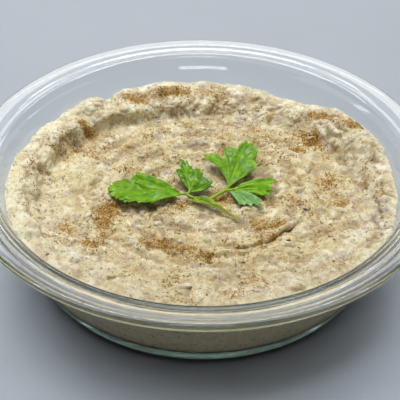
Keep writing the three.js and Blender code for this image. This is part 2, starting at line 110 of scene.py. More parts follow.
SOFT_LEDGE = {"toe": -2, "lip": 7, "above": 2}
MOUNDS = (
    (133, 91, 9, 2.2), (124, 94, 4, -3), (146, 95, 5, -1.2), (137, 83, 5, -2.5),
    (104, 92, 8, 0.8), (89, 92, 6, 1.2), (53, 94, 7, -1.2), (41, 94, 8, 1.8),
)
LUMPS = ((15, 1.3, 0.3, 11), (8, 1, 0.3, 12))  # width, height, share on the plateau, seed
LUMPS_AT_GLASS = 0.5
LEDGE_WANDER = {"radius": 80, "width": 11, "height": 2.2, "seed": 13}

LEAF_RIPPLE = 0.35
LEAF_RIPPLES = 9
LEFT_LEAVES = (
    dict(seed=91, dark=0.35, fold=((-34, 0.1), (-25.8, -7.9), 1, 0.7),
         base=(-9.8, -7, 42.5), heading=174, waist=(0.6, 1), rise=-0.03, arch=1.4, tilt=-0.06, cup=0.012,
         outline=((-33, 9), (-31, 16), (-29, 20.5), (-27, 26.5), (-20, 29), (-15, 28.4), (-12, 36),
                  (-4, 39.4), (8, 36.5), (22, 30), (32, 24), (37, 14), (39, 6))),
    dict(seed=92, dark=0.85,
         base=(-6.3, -5.2, 42.5), heading=98, waist=(1, 0.9), rise=0.12, arch=0.8, tilt=0, cup=0.01,
         outline=((-88, 7), (-84, 12), (-70, 12.8), (-50, 12), (-33, 14.8), (-21, 17.4), (-14, 16.6),
                  (-5, 21.5), (6, 24), (9, 19.4), (18, 17.5), (24, 11), (26, 5))),
    dict(seed=93, dark=0.6, yellow=1,
         base=(-7.8, -7.8, 42.2), heading=-33, waist=(1, 1), rise=-0.045, arch=0.8, tilt=0.08, cup=0,
         outline=((-20, 5), (-12, 7.9), (-4, 12.5), (-2.2, 20), (-1.4, 29), (0.7, 32.1), (2.4, 27),
                  (5.5, 22.3), (11.7, 16.3), (19, 11.5), (26, 6.7))),
)
RIGHT_LEAVES = (
    dict(seed=94, dark=0.5,
         base=(13.1, -1, 42.5), heading=76, waist=(0.85, 0.35), rise=0.16, arch=0, tilt=-0.05, cup=0,
         outline=((-36, 12), (-34, 20), (-31, 23.4), (-22, 22.8), (-20, 28), (-12, 33.4), (-3, 35.4),
                  (3, 32.5), (4, 29), (12, 28.4), (19, 29), (20, 22.2), (30, 27), (40, 28.2), (44, 22))),
    # cool: its lower lobe gets a pale, bluish painted sheen
    dict(seed=95, dark=0.1, cool=1,
         base=(13.6, -3.1, 42.5), heading=3.5, waist=(1, 1), rise=0.02, arch=0.6, tilt=0.09, cup=0,
         outline=((-72, 6), (-70, 11.5), (-58, 14.6), (-51, 16.8), (-48, 16.2), (-41, 20), (-33, 19.6),
                  (-26, 16), (-23, 11.5), (-20, 17.8), (-10, 21.8), (-8, 19.2), (0, 22.8), (6, 22.3),
                  (15, 25.6), (19, 24.6), (21, 20), (25, 14), (29, 6))),
)
LEFT_STALKS = (
    (0.6, ((-12.5, -7.1, 42.7), (-9.6, -7, 42.5), (-7.2, -6.2, 42.5), (-6.1, -3, 42.9))),
    (0.6, ((-7.6, -6.1, 42.4), (-7.5, -7.4, 42.3), (-4.6, -9.7, 42.4))),
)
RIGHT_STALKS = (
    (0.9, ((3.6, -9.8, 41.4), (7, -6.9, 41.8), (11.2, -3.4, 42.3), (13.2, -0.4, 42.6))),
    (0.6, ((11, -3.6, 42.3), (13.6, -3.1, 42.5), (16.5, -2.6, 42.7))),
)

# ---------------------------------------------------------------- numbers


def lerp(a, b, t):
    return a + (b - a) * t


def smoothstep(x, low, high):
    t = np.clip((x - low) / (high - low), 0, 1)
    return t * t * (3 - 2 * t)


def hump(distance, width):
    return np.exp(-((distance / width) ** 2))


def word(values, factor):
    whole = np.asarray(values).astype(np.int64).astype(np.uint64)
    return (whole * np.uint64(factor)) & np.uint64(0xFFFFFFFF)


def draw(column, row, seed, layer=0):
    """A repeatable draw from 0 to 1 for each whole-numbered place, as in the CAD source."""
    mixed = word(column, 374761393) ^ word(row, 668265263) ^ word(seed, 1442695041) ^ word(layer, 2246822519)
    mixed = word(mixed ^ (mixed >> np.uint64(13)), 1274126177)
    mixed = mixed ^ (mixed >> np.uint64(16))
    return mixed.astype(float) / 4294967296


def bumps(x, y, seed, count=None):
    """Smooth bumps from -1 to 1, one for each unit of x and y, as in the CAD source.

    With a count, they repeat after that many units of y.
    """
    column, row = np.floor(x), np.floor(y)
    across, up = smoothstep(x - column, 0, 1), smoothstep(y - row, 0, 1)
    here, after = (row, row + 1) if count is None else (np.mod(row, count), np.mod(row + 1, count))
    low = lerp(draw(column, here, seed), draw(column + 1, here, seed), across)
    high = lerp(draw(column, after, seed), draw(column + 1, after, seed), across)
    return 2 * lerp(low, high, up) - 1


def turned_by(seed):
    """A turn that is different for each seed, so that no two layers of noise line up."""
    axis = Vector([float(draw(k, 7, seed)) - 0.5 for k in range(3)]).normalized()
    return np.array(Matrix.Rotation(1 + 4 * float(draw(3, 7, seed)), 3, axis))


def noise(points, width, seed):
    """Smooth noise in space from about -1 to 1, with lumps of that width."""
    p = points @ turned_by(seed).T / width
    cell = np.floor(p)
    t = p - cell
    t = t * t * t * (t * (6 * t - 15) + 10)
    total = 0
    for corner in range(8):
        step = np.array([(corner >> k) & 1 for k in range(3)])
        place = cell + step
        weight = np.prod(np.where(step == 1, t, 1 - t), axis=1)
        total = total + weight * draw(place[:, 0], place[:, 1], seed, place[:, 2])
    return 2 * total - 1


def puffs(points, width, seed):
    """Rounded lumps with creases between them, from about -1 to 1."""
    return 2.6 * np.abs(noise(points, width, seed)) - 1


def streaks(radius, azimuth, width, count, seed):
    """Noise drawn out round the dish: width across the streaks, and count of them in a full turn."""
    return bumps(radius / width, np.mod(azimuth, 360) * count / 360, seed, count)


def catmull_rom(a, b, c, d, t):
    bend = 2 * a - 5 * b + 4 * c - d
    twist = 3 * b - a - 3 * c + d
    return 0.5 * (2 * b + (c - a) * t + bend * t * t + twist * t * t * t)


def from_polar(radius, azimuth):
    return radius * np.cos(np.radians(azimuth)), radius * np.sin(np.radians(azimuth))


def to_polar(points):
    return np.hypot(points[:, 0], points[:, 1]), np.degrees(np.arctan2(points[:, 1], points[:, 0]))


# ---------------------------------------------------------------- meshes


def mesh_piece(name, vertices, faces, material, smooth=True):
    """A mesh from vertices in millimetres and triangles or quads."""
    mesh = bpy.data.meshes.new(name)
    faces = faces.tolist() if isinstance(faces, np.ndarray) else faces
    mesh.from_pydata((np.asarray(vertices) * MM).tolist(), [], faces)
    mesh.validate()
    mesh.update()
    mesh.polygons.foreach_set("use_smooth", [smooth] * len(mesh.polygons))
    mesh.materials.append(material)
    piece = bpy.data.objects.new(name, mesh)
    bpy.context.scene.collection.objects.link(piece)
    return piece


def store(piece, name, values):
    """Keeps a number for each vertex, which the material reads by name."""
    layer = piece.data.attributes.new(name, "FLOAT", "POINT")
    layer.data.foreach_set("value", np.asarray(values, np.float32))


def bridge(inner_start, inner_count, outer_start, outer_count):
    """Triangles between two rings whose counts may differ."""
    outer_steps = np.arange(1, outer_count + 1) / outer_count
    inner_steps = np.arange(1, inner_count + 1) / inner_count
    is_outer = np.concatenate([np.ones(outer_count, bool), np.zeros(inner_count, bool)])
    is_outer = is_outer[np.argsort(np.concatenate([outer_steps, inner_steps]), kind="stable")]
    outer = np.cumsum(is_outer) - is_outer
    inner = np.cumsum(~is_outer) - ~is_outer
    start = inner_start + inner % inner_count
    end = outer_start + outer % outer_count
    next_outer = outer_start + (outer + 1) % outer_count
    next_inner = inner_start + (inner + 1) % inner_count
    return np.stack([start, end, np.where(is_outer, next_outer, next_inner)], 1)


def vertex_normals(vertices, triangles):
    a, b, c = (vertices[triangles[:, k]] for k in range(3))
    face = np.cross(b - a, c - a)
    normals = np.zeros_like(vertices)
    for k in range(3):
        for axis in range(3):
            normals[:, axis] += np.bincount(triangles[:, k], face[:, axis], len(vertices))
    return normals / np.maximum(np.linalg.norm(normals, axis=1, keepdims=True), 1e-9)


# ---------------------------------------------------------------- profile of the dish

DISH_SIDES = 288
# Points along each stretch of the profile.
STEPS = dict(
    recess=14, foot=16, wall=16, under=10, bead=18, flange=30, shoulder=14, inside=14, floor=14, base=16,
)
INNERMOST = 2  # radius of the ring next to the axis
FOOT_RECESS = 0.8  # the base stands on a ring
RECESS_RADIUS = 68
ABOVE_FLOOR = 0.03
RECESS_EDGE = ((69, FOOT_RECESS * 0.8), (70.2, 0.2), (71.4, ABOVE_FLOOR))
OUTER_WALL_HEIGHTS = (16, 46)
BELOW_FLANGE = 40  # a height on the wall, for its line up to the flange
BASE_RADIUS = 64  # flat part of the inside
STEP_RADIUS = 109.8  # a low step pressed into the flange
STEP_RISE = 0.3
STEP_WIDTH = 0.9
STEP_FADE_INSIDE = 2  # distance from the shoulder, and from the bead, over which it fades
STEP_FADE_OUTSIDE = 3


def wall_radius(height):
    return WALL_FOOT_RADIUS + WALL_LEAN * height + WALL_FLARE * height * height


def wall_slope(height):
    return WALL_LEAN + 2 * WALL_FLARE * height


def outer_wall(height):
    return np.array([wall_radius(height), height])


def inner_radius(height):
    """The inside follows the outside up to the shoulder, and leans out evenly from there."""
    level = np.minimum(height, SHOULDER_LEVEL)
    return wall_radius(level) - WALL_THICKNESS + SHOULDER_LEAN * (height - level)


def inner_wall(height):
    return np.array([inner_radius(height), height])


def round_corner(before, corner, after, radius, steps):
    """Points of the arc that rounds a corner of a profile."""
    before, corner, after = (np.array(p, float) for p in (before, corner, after))
    back = (before - corner) / np.linalg.norm(before - corner)
    ahead = (after - corner) / np.linalg.norm(after - corner)
    half = math.acos(np.clip(back @ ahead, -1, 1)) / 2
    bisector = (back + ahead) / np.linalg.norm(back + ahead)
    centre = corner + bisector * radius / math.sin(half)
    start = corner + back * radius / math.tan(half) - centre
    end = corner + ahead * radius / math.tan(half) - centre
    turn = math.atan2(start[0] * end[1] - start[1] * end[0], start @ end)
    points = []
    for step in range(steps + 1):
        c, s = math.cos(turn * step / steps), math.sin(turn * step / steps)
        points.append(centre + np.array([start[0] * c - start[1] * s, start[0] * s + start[1] * c]))
    return points


def arc(centre, radius, start, end, steps):
    angles = [math.radians(lerp(start, end, step / steps)) for step in range(steps + 1)]
    return [np.array([centre[0] + radius * math.cos(a), centre[1] + radius * math.sin(a)]) for a in angles]


def wall_corner(height, level, inset):
    return np.array([wall_radius(height) - inset - (height - level) * wall_slope(height), level])


def flange_corner(start, slope, drop):
    """Where a wall that leans by slope from its start meets the flange."""
    flange_there = FLANGE_HEIGHT - drop - FLANGE_SLOPE * (FLANGE_RADIUS - start[0])
    climb = (flange_there - start[1]) / (1 - FLANGE_SLOPE * slope)
    return np.array([start[0] + slope * climb, start[1] + climb])


def floor_corner(inset, steps):
    floor = BASE_THICKNESS + inset
    corner = wall_corner(FLOOR_ROUND_TOP, floor, WALL_THICKNESS + inset)
    wall = inner_wall(FLOOR_ROUND_TOP) - (inset, 0)
    return round_corner(wall, corner, (0, floor), FLOOR_ROUND - inset, steps)


def stepped_flange(inner):
    """The flange's top, from its outer end to the shoulder, with a low step pressed into it."""
    radii = np.linspace(FLANGE_RADIUS, inner, STEPS["flange"])[:-1]
    step = STEP_RISE * (np.tanh((radii - STEP_RADIUS) / STEP_WIDTH) - 1) + STEP_RISE
    fade = smoothstep(radii, inner, inner + STEP_FADE_INSIDE)
    fade = fade * (1 - smoothstep(radii, FLANGE_RADIUS - STEP_FADE_OUTSIDE, FLANGE_RADIUS))
    heights = FLANGE_HEIGHT - FLANGE_SLOPE * (FLANGE_RADIUS - radii) + step * fade
    return [np.array(p) for p in zip(radii, heights)]


def dish_profile():
    """Radius and height along the glass, from the middle underneath, round the rim, to the middle inside."""
    under = flange_corner(outer_wall(FLANGE_LEVEL), wall_slope(FLANGE_LEVEL), WALL_THICKNESS)
    over = flange_corner(inner_wall(SHOULDER_LEVEL), SHOULDER_LEAN, 0)
    flange = np.array([FLANGE_RADIUS, FLANGE_HEIGHT])
    flange_under = np.array([FLANGE_RADIUS, FLANGE_HEIGHT - WALL_THICKNESS])
    bead = (RIM_RADIUS - BEAD_RADIUS, DISH_HEIGHT - BEAD_RADIUS)
    foot = wall_corner(FOOT_ROUND_TOP, 0, 0)
    foot = round_corner((0, 0), foot, outer_wall(FOOT_ROUND_TOP), FOOT_ROUND, STEPS["foot"])
    shoulder = round_corner(flange, over, inner_wall(SHOULDER_LEVEL), FLANGE_TOP_ROUND, STEPS["shoulder"])
    return [
        *[np.array([r, FOOT_RECESS]) for r in np.linspace(INNERMOST, RECESS_RADIUS, STEPS["recess"])],
        *[np.array(p, float) for p in RECESS_EDGE],
        *[p + (0, ABOVE_FLOOR) for p in foot],
        *[outer_wall(h) for h in np.linspace(*OUTER_WALL_HEIGHTS, STEPS["wall"])],
        *round_corner(outer_wall(BELOW_FLANGE), under, flange_under, FLANGE_UNDER_ROUND, STEPS["under"]),
        *arc(bead, BEAD_RADIUS, -90, 90, STEPS["bead"]),
        *stepped_flange(shoulder[0][0]),
        *shoulder,
        *[inner_wall(h) for h in np.linspace(SHOULDER_LEVEL, FLOOR_ROUND_TOP, STEPS["inside"])],
        *floor_corner(0, STEPS["floor"]),
        *[np.array([r, float(BASE_THICKNESS)]) for r in np.linspace(BASE_RADIUS, INNERMOST, STEPS["base"])],
    ]


def ring(radius, height, sides):
    angles = np.arange(sides) * 2 * np.pi / sides
    return np.stack([radius * np.cos(angles), radius * np.sin(angles), np.full(sides, height)], 1)


def lathe(profile, sides):
    """A closed solid turned about Z from an open profile whose two ends are joined to the axis."""
    rings = [ring(r, z, sides) for r, z in profile]
    vertices = np.concatenate(rings + [[(0, 0, profile[0][1])], [(0, 0, profile[-1][1])]])
    here = np.arange(sides)
    ahead = (here + 1) % sides
    faces = []
    for k in range(len(profile) - 1):
        a, b = k * sides, (k + 1) * sides
        faces += np.stack([a + here, a + ahead, b + ahead, b + here], 1).tolist()
    bottom, top = len(profile) * sides, len(profile) * sides + 1
    last = (len(profile) - 1) * sides
    faces += [(bottom, int(b), int(a)) for a, b in zip(here, ahead)]
    faces += [(top, int(last + a), int(last + b)) for a, b in zip(here, ahead)]
    return vertices, faces


# ---------------------------------------------------------------- form of the dip


def dip_edge_radius(height):
    return inner_radius(height) - GAP


def around(column, azimuth):
    place = np.mod(azimuth / BAND_STEP, len(BAND))
    row = np.floor(place).astype(int)
    at = [BAND[(row + step) % len(BAND), column] for step in (-1, 0, 1, 2)]
    return catmull_rom(*at, place - row)


def ledge_radius(azimuth):
    x, y = from_polar(LEDGE_WANDER["radius"], azimuth)
    wander = bumps(x / LEDGE_WANDER["width"], y / LEDGE_WANDER["width"], LEDGE_WANDER["seed"])
    return around(0, azimuth) + LEDGE_WANDER["height"] * wander * around(1, azimuth)


def sheerness(azimuth):
    return np.clip(around(1, azimuth), 0, 1)


def crease_radius(azimuth):
    return CREASE_RADIUS + CREASE_SWING * np.cos(np.radians(azimuth - CREASE_SWING_AZIMUTH))


def crease_strength(azimuth):
    turn = np.abs(np.mod(azimuth - CREASE_AZIMUTH + 540, 360) - 180)
    return 1 - smoothstep(turn, CREASE_REACH, CREASE_REACH + CREASE_FADE)


def crease(radius, azimuth):
    off = radius - crease_radius(azimuth)
    height = -CREASE_DEPTH * hump(off, CREASE_WIDTH)
    for place, rise in CREASE_SHOULDERS:
        height = height + rise * hump(off - place, CREASE_SHOULDER_WIDTH)
    return crease_strength(azimuth) * height


def swirl_strength(radius):
    start, full, fade, gone = SWIRL_BAND
    return smoothstep(radius, start, full) * (1 - smoothstep(radius, fade, gone))


def swirl_turn(radius, azimuth):
    return 2 * np.pi * (radius / SWIRL_PITCH - azimuth / 360)


def swirl(radius, azimuth):
    return SWIRL_HEIGHT * swirl_strength(radius) * np.sin(swirl_turn(radius, azimuth))


def plateau_height(radius, azimuth):
    fall = smoothstep(radius, TROUGH_START, ledge_radius(azimuth) - LEDGE_APRON)
    return PLATEAU_HEIGHT - TROUGH_DROP * sheerness(azimuth) * fall


def band_section(azimuth):
    ledge, sheer = ledge_radius(azimuth), sheerness(azimuth)
    floor = PLATEAU_HEIGHT - TROUGH_DROP * sheer
    crest_r, crest_z, glass = around(2, azimuth), around(3, azimuth), around(4, azimuth)
    toe_r = ledge + lerp(SOFT_LEDGE["toe"], SHEER_LEDGE["toe"], sheer)
    lip_r = ledge + lerp(SOFT_LEDGE["lip"], SHEER_LEDGE["lip"], sheer)
    lip_z = lerp(PLATEAU_HEIGHT + SOFT_LEDGE["above"], crest_z - SHEER_LEDGE["below"], sheer)
    edge_r = dip_edge_radius(glass)
    radii = (ledge - 2 * LEDGE_APRON, ledge - LEDGE_APRON, toe_r, lip_r,
             lerp(lip_r, crest_r, 0.5), crest_r, edge_r, edge_r + 3)
    heights = (floor, floor, floor + TOE_HEIGHT, lip_z,
               lerp(lip_z, crest_z, 0.75), crest_z, glass, glass - 4)
    return np.array(radii), np.array(heights)


def band_point(place, azimuth):
    radii, heights = band_section(azimuth)
    first = np.minimum(np.floor(place).astype(int), AT_GLASS - 1)
    column = np.arange(len(azimuth))
    t = place - first
    return tuple(
        catmull_rom(*[values[first + k, column] for k in range(4)], t) for values in (radii, heights)
    )


def mounds(x, y):
    height = 0
    for azimuth, radius, spread, rise in MOUNDS:
        dx = x - radius * math.cos(math.radians(azimuth))
        dy = y - radius * math.sin(math.radians(azimuth))
        height = height + rise * np.exp(-(dx * dx + dy * dy) / (spread * spread))
    return height


def lumps(x, y, on_band):
    height = 0
    for width, rise, on_plateau, seed in LUMPS:
        height = height + rise * lerp(on_plateau, 1, on_band) * bumps(x / width, y / width, seed)
    return height


def plateau_vertices(radius, azimuth):
    x, y = from_polar(radius, azimuth)
    spooned = plateau_height(radius, azimuth) + crease(radius, azimuth) + swirl(radius, azimuth)
    return np.stack([x, y, spooned + lumps(x, y, 0)], 1)


def band_vertices(place, azimuth):
    radius, height = band_point(place, azimuth)
    x, y = np.cos(np.radians(azimuth)), np.sin(np.radians(azimuth))
    on_band = smoothstep(place, 0, 2)
    at_glass = smoothstep(place, AT_GLASS - 1, AT_GLASS)
    uneven = lumps(radius * x, radius * y, on_band) * lerp(1, LUMPS_AT_GLASS, at_glass)
    lumpy = height + uneven + mounds(radius * x, radius * y) * on_band
    inside = np.minimum(radius, dip_edge_radius(lumpy))
    reach = lerp(inside, dip_edge_radius(lumpy), at_glass)
    return np.stack([reach * x, reach * y, lumpy], 1)


# ---------------------------------------------------------------- the fine dip

FACET = 0.64  # spacing of the dip's vertices
BAND_ROWS = (9, 13, 9, 9, 12)  # rings of vertices between the band's places
EDGE_RADIUS = 100  # about where the dip meets the glass
BAND_FADE = 1.4  # places over which the band's relief takes over from the plateau's
GLASS_FADE = 0.9  # places before the glass over which the relief flattens
SPOON_RIDGES = 0.42
INTO_GLASS = 0.25  # how far the dip reaches into the wall
OFF_GLASS = 0.1  # how far the mash keeps off the wall above its edge
SIDE_COLUMNS = 360
SIDE_ROWS = 12
SIDE_HEIGHTS = (38, 19)
CORNER_STEPS = 12
LEAVES_GLASS = (0.35, 0.6)  # shares of the lower corner between which the dip comes off the glass
ABOVE_BASE = 0.4
UNDER_RADIUS = 40

THIN_DUST = 0.4  # density of the spice between its drifts

# Spice lies in drifts: x, y, half length, half width, heading, density.
DRIFTS = (
    (-46, -21, 13, 7, 78, 1.0),
    (-52, -45, 6, 5, 120, 0.8),
    (-15, -44.5, 14, 3.2, 170, 1.0),
    (-2, -50, 11, 3.5, 176, 0.45),
    (-11, -11, 9, 3, 4, 1.0),
    (10, -7, 9, 8, 20, 0.95),
    (29, -28, 9, 5, 20, 0.85),
    (39, -27, 5, 4, 20, 0.6),
    (33, -39, 8, 2.4, 25, 0.9),
    (50, -9, 4, 4, 120, 0.6),
    (55, -17, 5, 3, 120, 0.6),
    (70, -9, 5, 3, 170, 0.6),
    (11, -41, 4, 2.5, 0, 0.5),
    (2, -56, 4, 2.5, 0, 0.5),
    (19, -56, 5, 2, 0, 0.45),
    (-39, 77, 10, 5, 165, 1.3),
    (-16, 84, 13, 5, 4, 1.35),
    (-63, 51, 6, 4, 150, 1.2),
    (-69, 39, 5, 3, 160, 0.7),
    (-43, 18, 9, 2.5, 10, 0.75),
    (-16, 9, 4, 3, 120, 0.8),
    (65, 61, 8, 4.5, 150, 1.1),
    (80, 51, 8, 4.5, 145, 1.05),
    (52, 53, 7, 3.5, 160, 1.0),
    (61, 45, 6, 3.5, 130, 1.1),
    (50, 38, 7, 2, 170, 0.75),
    (65, 7, 7, 5, 120, 0.7),
    (85, 13, 8, 2, 95, 0.6),
    (68, 26, 10, 2, 110, 0.35),
    (9, 31, 11, 2, 5, 0.4),
    (-66, 35, 5, 2, 10, 0.4),
    (-30, -52, 7, 3, 170, 0.4),
    (-68, -34, 5, 3, 140, 0.35),
)


def ovals(x, y, table):
    """Soft ovals added up: x, y, half length, half width, heading, strength."""
    total = 0
    for cx, cy, length, width, heading, strength in table:
        turn = math.radians(heading)
        along = (x - cx) * math.cos(turn) + (y - cy) * math.sin(turn)
        across = (y - cy) * math.cos(turn) - (x - cx) * math.sin(turn)
        total = total + strength * np.exp(-((along / length) ** 2) - (across / width) ** 2)
    return total


def dust(x, y):
    """Density of the spice, from 0 to 1."""
    loose = np.column_stack([x, y, np.zeros(np.shape(x))])
    thin = smoothstep(noise(loose, 13, 53) + 0.6 * noise(loose, 5, 54), 0.15, 0.8)
    x = x + 2.5 * noise(loose, 6, 57) + 1.2 * noise(loose, 3, 58)
    y = y + 2.5 * noise(loose, 6, 59) + 1.2 * noise(loose, 3, 60)
    return np.clip(ovals(x, y, DRIFTS) + THIN_DUST * thin, 0, 1)


def dip_lattice():
    """Rings of vertices on the dip's smooth form, and how far each vertex is on the band and at the glass."""
    mean_edge = float(np.mean(ledge_radius(np.arange(0, 360, 5.0)))) - LEDGE_APRON
    rows = round(mean_edge / FACET)
    rings, on_band, at_glass = [], [], []
    for row in range(1, rows + 1):
        count = max(6, round(2 * math.pi * mean_edge * row / rows / FACET))
        azimuth = np.arange(count) * 360 / count
        radius = (ledge_radius(azimuth) - LEDGE_APRON) * row / rows
        rings.append(plateau_vertices(radius, azimuth))
        on_band.append(np.zeros(count))
        at_glass.append(np.zeros(count))
    places = np.concatenate([k + np.arange(1, n + 1) / n for k, n in enumerate(BAND_ROWS)])
    for place in places:
        count = round(2 * math.pi * lerp(mean_edge, EDGE_RADIUS, place / AT_GLASS) / FACET)
        azimuth = np.arange(count) * 360 / count
        rings.append(band_vertices(np.full(count, place), azimuth))
        on_band.append(np.full(count, float(smoothstep(place, 0, BAND_FADE))))
        at_glass.append(np.full(count, float(smoothstep(place, AT_GLASS - GLASS_FADE, AT_GLASS))))
    return rings, on_band, at_glass


# The crease's own line and depth: azimuth, radius, depth.
CREASE_LINE = np.array([
    (-150, 53, 0), (-126, 51.2, 0.25), (-109, 48.6, 0.35), (-91, 47.6, 0.4), (-73, 48.2, 0.6),
    (-56, 50.4, 1.3), (-47, 51.2, 2), (-33, 52.4, 2.4), (-25, 53.8, 2.2), (-15, 54.2, 1), (0, 54, 0),
])


def sharp_crease(radius, azimuth):
    """A cut with a lip on its inner side, where the spoon was lifted."""
    line = np.interp(azimuth, CREASE_LINE[:, 0], CREASE_LINE[:, 1])
    depth = np.interp(azimuth, CREASE_LINE[:, 0], CREASE_LINE[:, 2])
    x, y = from_polar(radius, azimuth)
    wobble = bumps(x / 4.5, y / 4.5, 55)
    off = radius - line - 0.9 * wobble
    depth = depth * (1 + 0.25 * bumps(x / 6, y / 6, 56))
    return depth * (0.55 * hump(off + 1.7, 1.4) - 1.05 * hump(off, 0.65) + 0.3 * hump(off - 2.3, 1.6))


# Hollows and cracks between lumps: x, y, half length, half width, heading, depth.
PITS = (
    (-69.4, 41.7, 4, 2.6, 30, 2.6), (-74.8, 32.6, 4.5, 2.8, 60, 1.7), (-83.2, 13.2, 3.5, 2, 20, 1.8),
    (-82.4, -7.7, 5, 1.6, 80, 2), (-42.7, 66, 2, 1.4, 0, 2.2), (-56.8, 58.3, 9, 1.3, 40, 1),
    (72.5, 49.1, 3.4, 1.6, 120, 2.3), (65, 51.5, 2.4, 1.6, 100, 1.9), (59.9, 44.2, 3.4, 1.8, 20, 2.3),
    (69.6, 38.3, 3, 1.6, 120, 1.5), (74.1, 28, 4, 1.8, 130, 2.1), (80.7, 10.4, 4, 1.6, 120, 1.9),
    (83.9, 4.4, 2.6, 1.2, 70, 2.1), (89, 20.5, 2.4, 1.2, 80, 1.7), (90.1, 31, 2, 1.2, 80, 1.7),
    (38.5, 72.2, 4.5, 1.6, 10, 1.9), (52.4, 61.6, 3, 1.6, 20, 1.5), (48.5, 34.1, 3.6, 1.1, 10, 1.4),
    (49.5, 2.3, 1.6, 1.1, 30, 1.3), (63.3, -31.1, 1.8, 1.2, 40, 1.7), (66.8, -21.5, 1.2, 0.9, 0, 1.3),
    (86.2, -41, 1.8, 1.2, 40, 1.5), (45.1, -80.2, 4, 1.3, 20, 2), (-58.2, 5.2, 4, 0.7, 45, 1),
    (-63, -2.5, 4, 0.7, 50, 0.9), (-70.8, 8.3, 3, 0.8, 120, 1), (-73, -62.2, 2.4, 1.3, 140, 1.4),
    (-21, -23.9, 2.4, 1.5, 150, 1.2), (27, 40, 5, 0.8, 170, 0.9), (-40, 40, 4, 0.8, 10, 0.8),
)


def spiral(radius, azimuth):
    """Ridges left by the spoon, steeper on their outer side."""
    turn = swirl_turn(radius, azimuth)
    return swirl_strength(radius) * (np.sin(turn) + 0.35 * np.sin(2 * turn + 0.6))


def crag_share(azimuth):
    """The band is torn at the back and sides, and softer in front."""
    return 1 - 0.55 * smoothstep(np.abs(np.mod(azimuth + 90 + 180, 360) - 180), 75, 35)


def relief(points, on_band, at_glass):
    """How far the mash stands out from its smooth form: crumbs everywhere, streaks where it was spooned.

    Each layer is a height times a noise of some width, with its own seed.
    """
    radius, azimuth = to_polar(points)
    crags = 1.15 * puffs(points, 11, 31) + 0.6 * puffs(points, 5.4, 32)
    crumbs = 0.4 * puffs(points, 2.8, 33) + 0.22 * noise(points, 1.35, 34)
    rough = smoothstep(noise(points, 17, 39), -0.45, 0.35)
    swept = 0.34 * streaks(radius, azimuth, 3.1, 40, 35) + 0.24 * streaks(radius, azimuth, 1.7, 80, 36)
    soft = 0.5 * noise(points, 8, 37) + 0.45 * puffs(points, 4.6, 38)
    spooned = smoothstep(radius, 8, 20)
    ridges = (swept + SPOON_RIDGES * spiral(radius, azimuth)) * spooned
    plateau = soft + ridges + sharp_crease(radius, azimuth)
    unevenness = lerp(lerp(0.5, 0.75, on_band), 1.15, rough)
    craggy = lerp(0.12, 0.3 + 0.7 * crag_share(azimuth), on_band)
    lumpy = unevenness * (crumbs + crags * craggy)
    lumpy = lumpy + plateau * (1 - on_band) - ovals(points[:, 0], points[:, 1], PITS)
    return lumpy * lerp(1, 0.4, at_glass)


def settle_against_glass(points, at_glass):
    """Keeps the mash off the wall above its edge, and takes its edge just into the wall."""
    radius = np.hypot(points[:, 0], points[:, 1])
    limit = inner_radius(points[:, 2])
    target = np.where(at_glass > 0.999, limit + INTO_GLASS, np.minimum(radius, limit - OFF_GLASS))
    scale = target / np.maximum(radius, 1e-6)
    return points * np.stack([scale, scale, np.ones(len(scale))], 1)


def dip_sides():
    """Rings of the dip against the wall and over the base, from the top down."""
    start, clear = LEAVES_GLASS
    side = [inner_wall(h) + (INTO_GLASS, 0) for h in np.linspace(*SIDE_HEIGHTS, SIDE_ROWS)]
    corner = floor_corner(0, CORNER_STEPS)
    for place, point in zip(np.linspace(0, 1, len(corner)), corner):
        gap = lerp(-INTO_GLASS, ABOVE_BASE, float(smoothstep(place, start, clear)))
        sunk = INTO_GLASS if place < start else 0
        side.append(point + np.array([-gap * (1 - place), gap * place - sunk]))
    side.append(np.array([float(UNDER_RADIUS), BASE_THICKNESS + ABOVE_BASE]))
    return [ring(r, z, SIDE_COLUMNS) for r, z in side]


def dip_piece(material):
    rings, on_band, at_glass = dip_lattice()
    middle = np.array([[0, 0, PLATEAU_HEIGHT + float(lumps(np.zeros(1), np.zeros(1), 0)[0])]])
    rings = [middle, *rings]
    on_band = np.concatenate([[0.0], *on_band])
    at_glass = np.concatenate([[0.0], *at_glass])
    triangles, start = [], 0
    for inner, outer in zip(rings, rings[1:]):
        triangles.append(bridge(start, len(inner), start + len(inner), len(outer)))
        start += len(inner)
    triangles = np.concatenate(triangles)
    top = np.concatenate(rings)
    height = relief(top, on_band, at_glass)
    top = settle_against_glass(top + vertex_normals(top, triangles) * height[:, None], at_glass)

    sides = dip_sides()
    below = np.concatenate(sides + [[(0, 0, BASE_THICKNESS + ABOVE_BASE)]])
    under = []
    here, count, start = start, len(rings[-1]), len(top)
    for _ in sides:
        under.append(bridge(here, count, start, SIDE_COLUMNS))
        here, count, start = start, SIDE_COLUMNS, start + SIDE_COLUMNS
    under.append(bridge(here, count, start, 1))
    vertices = np.concatenate([top, below])
    piece = mesh_piece("baba_ganoush_dip", vertices, np.concatenate([triangles, *under]), material)
    blank = np.zeros(len(below))
    for name, seen, unseen in (
        ("dust", dust(top[:, 0], top[:, 1]), blank),
        # depth below the smooth form, which the material paints as shade, less on the band
        ("hollow_shade", np.clip(-height * lerp(1, 0.6, on_band), -1, 4), blank),
        ("band", on_band, blank),
        ("swept", swept_colour(top, on_band), blank),
        ("pressed", at_glass, blank + 1),
    ):
        store(piece, name, np.concatenate([seen, unseen]))
    return piece


def swept_colour(points, on_band):
    """Pale and dark strands of aubergine, drawn out by the spoon."""
    radius, azimuth = to_polar(points)
    drawn = 0.6 * streaks(radius, azimuth, 3.4, 40, 41) + 0.4 * streaks(radius, azimuth, 1.7, 90, 42)
    loose = 0.6 * noise(points, 5, 43) + 0.4 * noise(points, 2.4, 44)
    return lerp(0.7 * drawn + 0.3 * loose, loose, on_band)


# ---------------------------------------------------------------- small things on the dip

